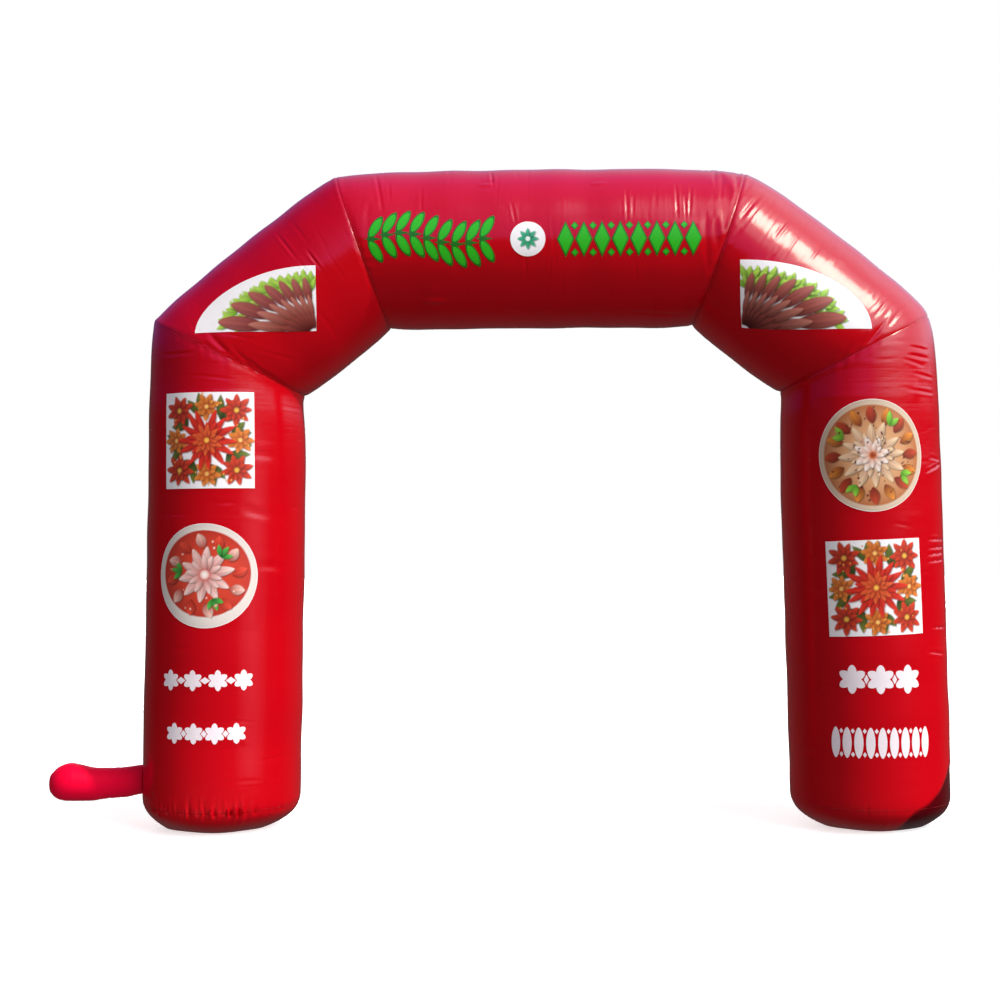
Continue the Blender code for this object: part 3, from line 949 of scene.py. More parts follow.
class ARCH_OT_foot_panels(bpy.types.Operator):
    """Builds the two foot panels, gathered to the legs and flat where they stand"""

    bl_idname = "arch.foot_panels"
    bl_label = "Foot panels"

    def execute(self, context):
        sizes, colors = context.scene.arch_sizes, context.scene.arch_colors
        cloth = coated_cloth("coated_cloth_of_feet", colors.foot, roughness=0.20)
        angle = round_angles(COLUMNS, FRONT_CROWDING)
        share = np.linspace(0, 1, FOOT_ROWS)[:, None]
        height = share * (sizes.foot_seam - sizes.gap) + 0 * angle
        for name in ("left", "right"):
            leg = arch_tubes(sizes)[name + "_leg"]
            radius = sizes.tube_radius - foot_inset(leg.name, height, angle)
            radius = radius - GATHERS[leg.name].draw * share**GATHER_CURVE
            radius = radius + foot_folds(leg, sizes, height, angle)
            radius = radius + gathers(sizes, leg.name, angle, (sizes.foot_seam - height) / GATHER_SQUEEZE)
            lean = (height - sizes.foot_seam) * leg.run[0] / leg.run[2]
            centre = foot_base(leg) * [1, 1, 0] + np.stack([lean, 0 * lean, height], -1)
            spoke = np.cos(angle)[:, None] * unit(leg.out * [1, 1, 0]) + np.sin(angle)[:, None] * FRONT
            folded = np.zeros_like(height)
            if name == "right":
                x = (centre + radius[..., None] * spoke)[..., 0] - MIDDLE_X
                folded = tuck(x, height, angle)
                radius = radius - TUCK_DEPTH * folded * np.clip(height / TUCK_FOOT_RISE, 0, 1)
            rings, along = centre + radius[..., None] * spoke, height
            if name == "right":  # its leg runs down, so its rings do too, and its faces point outwards
                rings, along, folded = rings[::-1], along[::-1], folded[::-1]
            skin = name + "_foot_panel"
            # The tuck's share (folded) also darkens the foot panel's cloth colour, as painted shade.
            piece = closed_skin(skin + "_skin", rings, sizes.tube_radius, angle, along, cloth, folded)
            padded_piece(skin)
        return {"FINISHED"}


SleeveSection = namedtuple("SleeveSection", "reach drop radius")
SLEEVE = (  # reach from the leg's side, and drop of the axis
    SleeveSection(0.0, 0.0, 0.108),
    SleeveSection(0.05, 0.006, 0.109),
    SleeveSection(0.11, 0.018, 0.112),
    SleeveSection(0.20, 0.026, 0.112),
    SleeveSection(0.29, 0.030, 0.115),
    SleeveSection(0.38, 0.036, 0.123),
    SleeveSection(0.47, 0.027, 0.134),
    SleeveSection(0.55, 0.020, 0.141),
    SleeveSection(0.605, 0.024, 0.134),
    SleeveSection(0.655, 0.029, 0.112),
    SleeveSection(0.688, 0.031, 0.080),
    SleeveSection(0.702, 0.031, 0.052),
    SleeveSection(0.706, 0.031, 0.016),
)
SLEEVE_COLUMNS = 72
SLEEVE_ROWS = 96
SLEEVE_CROWDING = 0.92  # below 1 its rows stand closer at the far end
SLEEVE_CLEAR = 0.004  # between its root and the leg
SLEEVE_MEAN_RADIUS = 0.12
SLEEVE_SEED = 5
SLEEVE_CREASES = 26
SLEEVE_CREASE_PLACES = (0.04, 0.62)  # along the sleeve
SLEEVE_CREASE_SPANS = (0.5, 1.4)  # round it, as angles
SLEEVE_CREASE_SLANT = 0.02


def smooth_values(table, at):
    """Columns of a table at values of its first column, on smooth curves through its rows."""
    table = np.array(table)
    slopes = np.gradient(table, table[:, 0], axis=0)
    index = np.clip(np.searchsorted(table[:, 0], at) - 1, 0, len(table) - 2)
    step = (table[index + 1, 0] - table[index, 0])[..., None]
    t = ((at - table[index, 0]) / step[..., 0])[..., None]
    return (
        (2 * t**3 - 3 * t**2 + 1) * table[index]
        + (t**3 - 2 * t**2 + t) * step * slopes[index]
        + (3 * t**2 - 2 * t**3) * table[index + 1]
        + (t**3 - t**2) * step * slopes[index + 1]
    )


class ARCH_OT_sleeve(bpy.types.Operator):
    """Builds the sleeve for the blower at the left leg's side"""

    bl_idname = "arch.sleeve"
    bl_label = "Inflation sleeve"

    def execute(self, context):
        sizes, colors = context.scene.arch_sizes, context.scene.arch_colors
        angle = round_angles(SLEEVE_COLUMNS)
        root = axis_point(sizes, sizes.sleeve_height) - np.array([sizes.tube_radius, 0, 0])
        across, lift = SLEEVE[0].radius * np.cos(angle), SLEEVE[0].radius * np.sin(angle)
        leg_axis = np.array([axis_point(sizes, sizes.sleeve_height + z)[0] for z in lift])
        side = leg_axis - np.sqrt(sizes.tube_radius**2 - across**2) - SLEEVE_CLEAR
        start = root[0] - side
        end = SLEEVE[-1].reach
        share = np.linspace(0, 1, SLEEVE_ROWS)[:, None]
        reach = start + share**SLEEVE_CROWDING * (end - start)
        found = smooth_values(SLEEVE, np.clip(reach, 0, end))
        drop, radius = found[..., 1], found[..., 2]
        rng = np.random.default_rng(SLEEVE_SEED)
        for _ in range(SLEEVE_CREASES):
            at = rng.uniform(*SLEEVE_CREASE_PLACES)
            turned = nearest_turn(angle, rng.uniform(0, 2 * math.pi))
            mask = np.exp(-((turned / rng.uniform(*SLEEVE_CREASE_SPANS)) ** 2))
            slant = rng.normal(0, SLEEVE_CREASE_SLANT) * turned
            depth = rng.uniform(*FAINT_LINES.depths)
            width = rng.uniform(*FAINT_LINES.widths)
            radius = radius + depth * mask * trough(reach - at - slant, width)
        y, z = radius * np.cos(angle), root[2] - drop + radius * np.sin(angle)
        rings = np.stack([root[0] - reach, y, z], -1)[:, ::-1]
        cloth = coated_cloth("thin_cloth_of_sleeve", colors.sleeve, roughness=0.34, gloss=0.08)
        name, along = "inflation_sleeve", reach[:, ::-1]
        piece = closed_skin(name + "_skin", rings, SLEEVE_MEAN_RADIUS, angle, along, cloth)
        padded_piece(name)
        return {"FINISHED"}


def stitch_tree(material):
    """A node tree that lays short stitches along the edges of a mesh."""
    tree = bpy.data.node_groups.new("stitches_along_seam", "GeometryNodeTree")
    interface = tree.interface
    interface.new_socket("Geometry", in_out="INPUT", socket_type="NodeSocketGeometry")
    defaults = {"Pitch": STITCH_PITCH, "Length": STITCH_LENGTH, "Thickness": STITCH_THICKNESS}
    for name, default in defaults.items():
        socket = interface.new_socket(name, in_out="INPUT", socket_type="NodeSocketFloat")
        socket.default_value = default
    interface.new_socket("Geometry", in_out="OUTPUT", socket_type="NodeSocketGeometry")
    given = add_node(tree, "NodeGroupInput").outputs
    curve = add_node(tree, "GeometryNodeMeshToCurve", inputs={"Mesh": given["Geometry"]})
    values = {"Curve": curve.outputs["Curve"], "Length": given["Pitch"]}
    spaced = add_node(tree, "GeometryNodeResampleCurve", {"mode": "LENGTH"}, values)
    values = {"Vertices": STITCH_SIDES, "Radius": given["Thickness"], "Depth": given["Length"]}
    stitch = add_node(tree, "GeometryNodeMeshCylinder", {"fill_type": "TRIANGLE_FAN"}, values)
    values = {"Vector": add_node(tree, "GeometryNodeInputTangent").outputs["Tangent"]}
    turned = add_node(tree, "FunctionNodeAlignRotationToVector", {"axis": "Z"}, values)
    values = {2: STITCH_SCALES[0], 3: STITCH_SCALES[1], "Seed": STITCH_SEED}
    uneven = add_node(tree, "FunctionNodeRandomValue", {"data_type": "FLOAT"}, values)
    values = {
        "Points": spaced.outputs["Curve"],
        "Instance": stitch.outputs["Mesh"],
        "Rotation": turned.outputs["Rotation"],
        "Scale": uneven.outputs[1],
    }
    placed = add_node(tree, "GeometryNodeInstanceOnPoints", inputs=values)
    real = add_node(tree, "GeometryNodeRealizeInstances", inputs={"Geometry": placed.outputs["Instances"]})
    smooth = add_node(tree, "GeometryNodeSetShadeSmooth", inputs={0: real.outputs["Geometry"]})
    values = {"Geometry": smooth.outputs[0], "Material": material}
    finished = add_node(tree, "GeometryNodeSetMaterial", inputs=values)
    add_node(tree, "NodeGroupOutput", inputs={"Geometry": finished.outputs["Geometry"]})
    return tree


def run_tree(name, loops, tree, values, material):
    """Runs a node tree over closed loops of points and returns the result as a plain mesh piece."""
    points = np.concatenate(loops)
    edges, first = [], 0
    for loop in loops:
        count = len(loop)
        edges += [(first + i, first + (i + 1) % count) for i in range(count)]
        first += count
    guide = bpy.data.meshes.new(name + "_guide")
    guide.from_pydata(points, edges, [])
    guide.materials.append(material)  # so the result has this one slot
    carrier = bpy.data.objects.new(name + "_guide", guide)
    bpy.context.scene.collection.objects.link(carrier)
    modifier = carrier.modifiers.new(name, "NODES")
    modifier.node_group = tree
    for item in tree.interface.items_tree:
        if item.in_out == "INPUT" and item.name in values:
            modifier[item.identifier] = values[item.name]
    graph = bpy.context.evaluated_depsgraph_get()
    mesh = bpy.data.meshes.new_from_object(carrier.evaluated_get(graph))
    mesh.name = name
    bpy.data.objects.remove(carrier)
    bpy.data.meshes.remove(guide)
    if not mesh.polygons:
        raise RuntimeError(f"{name} came out empty")
    piece = bpy.data.objects.new(name, mesh)
    bpy.context.scene.collection.objects.link(piece)
    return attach(piece, BODY)


class ARCH_OT_stitches(bpy.types.Operator):
    """Lays twin rows of stitches along the mitres, and a row above each foot seam"""

    bl_idname = "arch.stitches"
    bl_label = "Seam stitches"

    def execute(self, context):
        sizes, colors = context.scene.arch_sizes, context.scene.arch_colors
        thread = sewing_thread(colors.thread)
        tree = stitch_tree(thread)
        angle = round_angles(STITCH_STEPS)
        rows = {"mitre_stitches": [], "foot_stitches": []}
        for tube in arch_tubes(sizes).values():
            low, high = tube_ends(sizes, tube, angle)
            for seam, end, way in ((tube.start_seam, low, 1), (tube.end_seam, high, -1)):
                loop = tube_surface(sizes, tube, end + way * STITCH_OFFSET, angle, STITCH_LIFT)
                rows["mitre_stitches" if seam else "foot_stitches"].append(loop)
        for name, loops in rows.items():
            piece = run_tree(name, loops, tree, {"Pitch": sizes.stitch_pitch}, thread)
        return {"FINISHED"}


# ---- films, their print, and ornaments


def film_places(sizes, film, tube, x, y):
    """Places along and angles round the tube of points on a flat film that is bent round it."""
    turn = math.radians(film.turn)
    from_x = MIDDLE_X + film.x + x * math.cos(turn) - y * math.sin(turn) - tube.start[0]
    from_z = film.z + x * math.sin(turn) + y * math.cos(turn) - tube.start[2]
    along = from_x * tube.run[0] + from_z * tube.run[2]
    aside = from_x * tube.out[0] + from_z * tube.out[2]
    return along, math.pi / 2 - aside / sizes.tube_radius


def film_grid(film):
    """A grid of points that fills the film's outline, in the film's own plane."""
    step = EMBLEM_STEP if film.width < SMALL_FILM else FILM_STEP
    fan = film.shape.endswith("fan")
    spans = [np.linspace(0 if fan else -1, 1, round(size / step)) for size in (film.width, film.height)]
    across, up = np.meshgrid(*spans)
    if film.shape == "square":
        return across * film.width / 2, up * film.height / 2
    # A square squeezed to a disc: its rings of equal reach become circles.
    reach = np.maximum(np.abs(across), np.abs(up))
    turn = np.arctan2(up, across)
    eighth = np.round(turn / (math.pi / 2)) * (math.pi / 2)
    turn = eighth + math.pi / 4 * np.tan(turn - eighth)
    x, y = reach * np.cos(turn), reach * np.sin(turn)
    if fan:
        return (-x if film.shape == "left_fan" else x) * film.width, y * film.height
    return x * film.width / 2, y * film.height / 2


def film_area(film):
    """The flat area of a film."""
    if film.shape == "square":
        return film.width * film.height
    return math.pi / 4 * film.width * film.height


def inked_piece(name, points, faces, material, colors):
    """A thin piece with a colour of ink at each point."""
    piece = mesh_piece(name, points, faces, material)
    ink = piece.data.color_attributes.new("ink", "FLOAT_COLOR", "POINT")
    ink.data.foreach_set("color", colors.astype(np.float32).ravel())
    piece.data.set_sharp_from_angle(angle=SHARP_FILM)
    return piece


def film_piece(name, sizes, film, tube, x, y, color, material):
    """A film's closed sheet: a printed face, an underside and a cut edge."""
    rows, columns = x.shape
    along, angle = film_places(sizes, film, tube, x, y)
    grid = np.arange(rows * columns).reshape(rows, columns)
    quads = np.stack([grid[:-1, :-1], grid[:-1, 1:], grid[1:, 1:], grid[1:, :-1]], -1).reshape(-1, 4)
    rim = np.concatenate([grid[0, :-1], grid[:-1, -1], grid[-1, :0:-1], grid[:0:-1, 0]])
    under = rows * columns
    sides = np.stack([rim, rim + under, np.roll(rim, -1) + under, np.roll(rim, -1)], -1)
    faces = np.concatenate([quads, quads[:, ::-1] + under, sides])
    if film.shape == "left_fan":
        faces = faces[:, ::-1]
    points = [tube_surface(sizes, tube, along, angle, lift).reshape(-1, 3) for lift in FILM_LIFTS]
    opaque = np.concatenate([np.maximum(color, 0), np.ones(x.shape + (1,))], -1).reshape(-1, 4)
    piece = inked_piece(name, np.concatenate(points), faces.tolist(), material, np.tile(opaque, (2, 1)))
    flat = np.tile(np.stack([x, y], -1).reshape(-1, 2), (2, 1))
    layer = piece.data.uv_layers.new(name="print")
    layer.data.foreach_set("uv", flat[faces.ravel()].astype(np.float32).ravel())
    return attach(piece, BODY)


PETAL_LIGHT = (-0.6, 0.8)  # the direction that the print's drawn light comes from
PETAL_LEVELS = (0.62, 0.30, 0.22, 0.10)  # of a petal at its rim, its ridge, its lit side and its veins
PETAL_RANGE = (0.3, 1.3)
PETAL_SHADOW = 0.45  # how dark a motif's drawn shadow is
PETAL_VEINS = 9
PETAL_ENDS = (0.002, 0.998)  # between these shares of its length it has some width
FLOWER_INNER = 0.66  # the inner ring's reach, as a share of the outer one's
FLOWER_HEART = 0.20
FLOWER_FULLNESS = 3.4  # the petals' widths add up to this many reaches
FLOWER_POINT = 0.25
FLOWER_SIZES = (0.92, 1.06)
FLOWER_SLANT = 3  # degrees
SPRIG_POINT = 0.8
SPRIG_SIZES = (0.85, 1.1)
BERRY_SIZES = (0.6, 1.2)
POINTEDNESS = 0.6  # how much narrower a leaf's ends are at a point of 1


def around(degrees, reach, high):
    """The point at an angle on an oval about a film's middle, from its half width and half height."""
    turn = math.radians(degrees)
    return reach * math.cos(turn), high * math.sin(turn)


class Print:
    """Ink on a film: motifs that cover one another, each shaded as if lit from its upper left."""

    def __init__(self, x, y, ground, seed):
        self.x, self.y = x, y
        self.color = np.zeros(x.shape + (3,)) + linear(ground)[:3]
        self.random = np.random.default_rng(seed)

    def cover(self, share, color):
        """Lays a colour over a share of the ink."""
        self.color += share[..., None] * (color - self.color)

    def petal(self, at, length, width, degrees, root, tip, point):
        """A petal or leaf from a point, over its shadow. With a point of 0 it's an oval, and with 1 it has
        sharp ends."""
        c, s = math.cos(math.radians(degrees)), math.sin(math.radians(degrees))
        root, tip = np.array(linear(root)[:3]), np.array(linear(tip)[:3])
        rim, ridge, lit_side, veins = PETAL_LEVELS
        for slip in (PRINT_SHADOW, 0.0):
            dx, dy = self.x - at[0] - slip, self.y - at[1] + slip
            along = (dx * c + dy * s) / length
            across = dy * c - dx * s
            inside = (along > 0) & (along < 1)
            arch = np.sin(math.pi * np.clip(along, *PETAL_ENDS))
            half = width / 2 * arch ** (0.5 + POINTEDNESS * point)
            share = np.clip((half - np.abs(across)) / PRINT_BLUR + 0.5, 0, 1) * inside
            if slip:
                self.color *= (1 - PETAL_SHADOW * share)[..., None]
        side = np.clip(across / half, -1, 1)
        along = np.clip(along, 0, 1)
        lit = rim + ridge * (1 - side**2) + lit_side * side * (c * PETAL_LIGHT[1] - s * PETAL_LIGHT[0])
        lit += veins * np.cos(PETAL_VEINS * side) * np.sin(math.pi * along)
        self.cover(share, (root + along[..., None] * (tip - root)) * np.clip(lit, *PETAL_RANGE)[..., None])

    def dot(self, at, wide, high, middle, edge):
        """A round or oval dot, shaded from its middle to its edge."""
        reach = np.hypot((self.x - at[0]) / wide, (self.y - at[1]) / high)
        share = np.clip((1 - reach) * min(wide, high) / PRINT_BLUR + 0.5, 0, 1)
        blend = np.clip(reach, 0, 1)[..., None] ** 2
        self.cover(share, np.array(linear(middle)[:3]) * (1 - blend) + np.array(linear(edge)[:3]) * blend)

    def flower(self, at, reach, petals, root, tip, heart, turn):
        """Two rings of petals round a heart."""
        for ring, size in ((0, 1.0), (1, FLOWER_INNER)):
            for j in range(petals):
                degrees = turn + 360 * (j + 0.5 * ring) / petals + self.random.normal(0, FLOWER_SLANT)
                span = reach * size * self.random.uniform(*FLOWER_SIZES)
                self.petal(at, span, span * FLOWER_FULLNESS / petals, degrees, root, tip, FLOWER_POINT)
        self.dot(at, FLOWER_HEART * reach, FLOWER_HEART * reach, heart, root)

    def sprig(self, at, reach, degrees, root, tip, leaves, spread, wide):
        """Leaves that spread from a point."""
        for j in range(leaves):
            turn = degrees + spread * (j - (leaves - 1) / 2)
            length = reach * self.random.uniform(*SPRIG_SIZES)
            self.petal(at, length, reach * wide, turn, root, tip, SPRIG_POINT)

    def berries(self, count, reaches, high, size, middle, edge):
        """Small dots scattered between two reaches of an oval."""
        for _ in range(count):
            reach = self.random.uniform(*reaches)
            at = around(self.random.uniform(0, 360), reach, reach * high)
            dot = size * self.random.uniform(*BERRY_SIZES)
            self.dot(at, dot, dot, middle, edge)

    def draw(self, film, design):
        """Draws the rows of a design. Their reaches and sizes are shares of half the film."""
        w = film.width / 2
        h = w if film.shape == "square" else film.height / 2  # a square film's flowers keep to circles
        for row in design:
            if isinstance(row, Disc):
                self.dot((0, row.rise * h), row.wide * w, row.high * h, row.middle, row.edge)
                continue
            if isinstance(row, Berries):
                reaches = (row.inner * w, row.outer * w)
                self.berries(row.count, reaches, h / w, row.size * w, row.middle, row.edge)
                continue
            for k in range(row.count):
                degrees = row.start + 360 * k / row.count
                at, size = around(degrees, row.reach * w, row.reach * h), row.size * w
                if isinstance(row, Petals):
                    tip = row.tips[k % len(row.tips)]
                    self.petal(at, size, row.wide * w, degrees + row.turn, row.root, tip, row.point)
                elif isinstance(row, Flowers):
                    turn = row.turn + row.step * k
                    self.flower(at, size, row.petals, row.root, row.tip, row.heart, turn)
                else:
                    self.sprig(at, size, degrees, row.root, row.tip, row.leaves, row.spread, row.wide)

    def draw_fan(self, film):
        """Brown-red ribs that fan out of the film's corner, with lime leaves along its arc."""
        for degrees in FAN_LEAF_ANGLES:
            for row in FAN_LEAVES:
                at, turn, _ = fan_place(film, degrees, row.share)
                self.sprig(at, row.size * film.height, turn + row.turn, *FAN_LEAF_COLORS, *FAN_SPRIG)
        for row in FAN_RIBS:
            for degrees in FAN_RIB_ANGLES:
                at, turn, reach = fan_place(film, degrees, row.share)
                self.petal(at, row.size * reach, row.wide * reach, turn, row.root, row.tip, FAN_RIB_POINT)


def fan_place(film, degrees, share):
    """The point at a share of the way along a rib of a fan, with the rib's direction and its reach."""
    way = -1 if film.shape == "left_fan" else 1
    c, s = math.cos(math.radians(degrees)), math.sin(math.radians(degrees))
    reach = 1 / math.hypot(c / film.width, s / film.height)
    turn = degrees if way > 0 else 180 - degrees
    return (way * share * reach * c, share * reach * s), turn, reach


# The rows of a design. Petals, flowers and sprigs stand in a ring of count places, the first at the angle
# start, and at a reach from the middle. A step turns each flower by that much more than the last.
Disc = namedtuple("Disc", "rise wide high middle edge")
Berries = namedtuple("Berries", "count inner outer size middle edge")
Petals = namedtuple("Petals", "count start reach size wide turn root tips point")
Flowers = namedtuple("Flowers", "count start reach size petals root tip heart turn step")
Sprigs = namedtuple("Sprigs", "count start reach size root tip leaves spread wide")
DESIGNS = {
    "bouquet": (  # dahlias and buds with olive leaves, for the square films
        Sprigs(8, 10, 0.50, 0.50, "2E3A14", "74802E", 3, 34, 0.36),
        Flowers(4, 45, 0.88, 0.34, 8, "78140E", "E64424", "F4B848", 0, 20),
        Flowers(4, 0, 0.70, 0.29, 7, "A82814", "F09038", "FFD070", 0, 15),
        Flowers(1, 0, 0, 0.64, 14, "8A120C", "EE3420", "F0A838", 0, 0),
        Flowers(1, 0, 0, 0.34, 10, "A81E10", "F46A34", "FFC850", 12, 0),
        Berries(26, 0.62, 0.98, 0.022, "FFC860", "B85818"),
    ),
    "red_disc": (  # a red disc in a cream rim, with pale petals and green leaves
        Disc(0, 0.99, 0.99, "F6EEE6", "D8CCC4"),
        Disc(0.04, 0.87, 0.83, "D8442C", "B83020"),
        Petals(12, 0, 0.52, 0.30, 0.20, 24, "B02A1A", ("F05038", "FCD0C0"), 0.4),
        Flowers(1, 90, 0.02, 0.54, 10, "C83A2C", "FFE0D8", "FFF0E8", 9, 0),
        Sprigs(3, 50, 0.46, 0.24, "1E6A28", "5CC850", 3, 46, 0.42),
        Berries(22, 0.30, 0.78, 0.022, "F8D8C8", "C86048"),
    ),
    "cream_disc": (  # orange petals and brown seeds on cream, with lime leaves
        Disc(0, 0.99, 0.99, "F2E6D4", "CDB49A"),
        Disc(0, 0.90, 0.90, "DCA878", "B46A3C"),
        Petals(16, 0, 0.56, 0.33, 0.19, 10, "7C2612", ("CC4A28", "F49838"), 0.4),
        Flowers(1, 0, 0, 0.62, 12, "A03C1C", "F8D8B0", "FFF0DC", 5, 0),
        Flowers(1, 0, 0, 0.34, 8, "D8702C", "FFF6EC", "8C3820", 20, 0),
        Sprigs(4, 60, 0.60, 0.26, "4C9418", "A0E448", 2, 50, 0.44),
        Berries(70, 0.20, 0.86, 0.019, "6A2412", "4A180C"),
    ),
    "rosette": (  # a plain mint rosette
        Petals(8, 0, 0, 0.62, 0.26, 0, "1E8A60", ("4CC494",), 0.6),
        Disc(0, 0.14, 0.14, "F4F4F0", "C8E8D8"),
    ),
}
FanLeaf = namedtuple("FanLeaf", "share size turn")
FAN_LEAVES = (FanLeaf(0.70, 0.24, -10), FanLeaf(0.60, 0.20, 14))  # sprigs at a share of the fan's reach
FAN_LEAF_COLORS = ("5C9C14", "C4E85C")
FAN_SPRIG = (3, 36, 0.40)  # leaves, spread and width, as in Sprigs
FAN_LEAF_ANGLES = range(6, 90, 7)
FAN_RIB_ANGLES = range(6, 90, 12)
FAN_RIB_POINT = 0.1
FanRib = namedtuple("FanRib", "share size wide root tip")
FAN_RIBS = (  # from the outermost ring inwards
    FanRib(0.42, 0.40, 0.1273, "6E1E18", "B86458"),
    FanRib(0.20, 0.36, 0.0855, "7A241C", "C47868"),
    FanRib(0.05, 0.26, 0.0570, "5C1612", "A04A40"),
)


class ARCH_OT_films(bpy.types.Operator):
    """Lays the seven printed films on the tubes"""

    bl_idname = "arch.films"
    bl_label = "Printed films"

    def execute(self, context):
        sizes = context.scene.arch_sizes
        vinyl = printed_vinyl("white_vinyl_film")
        tubes = arch_tubes(sizes)
        for number, film in enumerate(FILMS):  # the number is the seed of its motifs
            x, y = film_grid(film)
            target = Print(x, y, FILM_COLOR, number)
            if film.design == "fan":
                target.draw_fan(film)
            else:
                target.draw(film, DESIGNS[film.design])
            name = film.name + "_film"
            sheet = film_piece(name, sizes, film, tubes[film.tube], x, y, target.color, vinyl)
            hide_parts(film.name)
            film_area(film)
        return {"FINISHED"}


LEAF_POINTS = 26


def leaf_outline(x, y, length, width, degrees, point):
    """A leaf from x, y. A point of 1 has a sharp tip and root, and 0 is an oval."""
    turn = 2 * math.pi * np.arange(LEAF_POINTS) / LEAF_POINTS
    along = length * (1 - np.cos(turn)) / 2
    side = width / 2 * np.sin(turn) * np.abs(np.sin(turn)) ** (point * POINTEDNESS)
    c, s = math.cos(math.radians(degrees)), math.sin(math.radians(degrees))
    return np.stack([x + along * c - side * s, y + along * s + side * c], -1)


def lozenge_outline(x, y, half_width, half_height, per_side=6):
    """A lozenge about x, y, with some points on each of its sides."""
    corners = np.array([(half_width, 0), (0, half_height), (-half_width, 0), (0, -half_height)])
    share = (np.arange(per_side) / per_side)[:, None]
    sides = [start + share * (end - start) for start, end in zip(corners, np.roll(corners, -1, axis=0))]
    return np.concatenate(sides) + [x, y]


class Transfer:
    """Gathers flat shapes, each a thin slab of ink with its own colour, for one row of ornament."""

    def __init__(self):
        self.points, self.lifts, self.colors, self.faces = [], [], [], []
        self.count = 0

    def add(self, outline, low, high, color):
        """A slab inside an outline, from lift low to high."""
        centre = outline.mean(0)
        count = len(outline)
        if np.cross(outline[0] - centre, outline[1] - centre) < 0:
            outline = outline[::-1]
        rings = max(2, math.ceil(np.hypot(*(outline - centre).T).max() / TRANSFER_STEP))
        shares = np.linspace(0, 1, rings + 1)[1:]
        face = [centre[None]] + [centre + share * (outline - centre) for share in shares]
        self.points += face + face
        for lift in (high, low):
            self.lifts += [np.full(1 + rings * count, lift)]
        total = 1 + rings * count
        self.colors += [np.tile(color, (2 * total, 1))]
        base = self.count
        for start, way in ((base, 1), (base + total, -1)):
            for i in range(count):
                after = (i + 1) % count
                self.faces.append((start, start + 1 + i, start + 1 + after)[::way])
                for ring in range(rings - 1):
                    here, there = start + 1 + ring * count, start + 1 + (ring + 1) * count
                    self.faces.append((here + i, there + i, there + after, here + after)[::way])
        top, bottom = base + total - count, base + 2 * total - count
        for i in range(count):
            after = (i + 1) % count
            self.faces.append((top + i, bottom + i, bottom + after, top + after))
        self.count += 2 * total

    def piece(self, name, sizes, band, tube, material):
        """The gathered shapes as one piece on its tube."""
        flat = np.concatenate(self.points)
        along, angle = film_places(sizes, band, tube, flat[:, 0], flat[:, 1])
        points = tube_surface(sizes, tube, along, angle, np.concatenate(self.lifts))
        piece = inked_piece(name, points, self.faces, material, np.concatenate(self.colors))
        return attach(piece, BODY)


def band_shapes(band):
    """The outlines of one row of ornament, each with its layer of ink. step is the room for one motif,
    high is half the row's height, and the numbers are the motif's own proportions of them."""
    step, high = band.width / band.count, band.height / 2
    for j in range(band.count):
        x = -band.width / 2 + step * (j + 0.5)
        between = x - 0.5 * step
        if band.kind == "lozenge":
            yield lozenge_outline(x, 0, 0.48 * step, high), 0
            yield lozenge_outline(x, 0, 0.40 * step, 0.84 * high), 1
            for rise in (-0.74 * high, 0.74 * high) if j else ():
                yield lozenge_outline(between, rise, 0.22 * step, 0.24 * high, 3), 0
                yield lozenge_outline(between, rise, 0.16 * step, 0.17 * high, 3), 1
        elif band.kind == "flower":
            for k in range(6):
                yield leaf_outline(x, 0, high, 0.62 * high, 30 + 60 * k, 0.3), k % 2
            if j:  # its ends reach 20 mm in between the petals
                yield lozenge_outline(between, 0, 0.5 * step - high + 0.02, 0.34 * high, 3), 0
        elif band.kind == "leaf":
            yield leaf_outline(x, -high, 2 * high, 0.78 * step, 90, 0.35), 0
            for rise in (-0.76 * high, 0.76 * high) if j else ():
                yield lozenge_outline(between, rise, 0.17 * step, 0.17 * high, 3), 1
        else:  # a garland: a waving stem with a leaf above and below at each step
            rise = 0.22 * high * math.sin(2.2 * math.pi * j / band.count)
            for degrees in (-60, 60):
                c, s = math.cos(math.radians(degrees)), math.sin(math.radians(degrees))
                for layer, share in ((0, 1.0), (1, 0.80)):
                    start = (1 - share) * 0.5 * high
                    root = (x - 0.3 * step + start * c, rise + start * s)
                    yield leaf_outline(*root, 0.98 * high * share, 0.74 * step * share, degrees, 0.5), layer
            yield lozenge_outline(x, rise, 0.62 * step, 0.07 * high, 4), 0


class ARCH_OT_ornaments(bpy.types.Operator):
    """Prints the rows of ornament on the beam and on the legs"""

    bl_idname = "arch.ornaments"
    bl_label = "Ornament rows"

    def execute(self, context):
        sizes, colors = context.scene.arch_sizes, context.scene.arch_colors
        tubes, ink = arch_tubes(sizes), printed_vinyl("solvent_ink")
        for band in BANDS:
            inks = (colors.dark_green, colors.green) if band.tube == "top_beam" else (colors.white,) * 2
            target = Transfer()
            for number, (outline, layer) in enumerate(band_shapes(band)):
                # Neighbours stand at four slightly different heights, so no two faces lie in one another.
                high = INK_HIGH + INK_STEP * (layer + number % 4 / 4)
                target.add(outline, INK_LOW, high, inks[layer])
            piece = target.piece(band.name, sizes, band, tubes[band.tube], ink)
        return {"FINISHED"}


# ---- stage


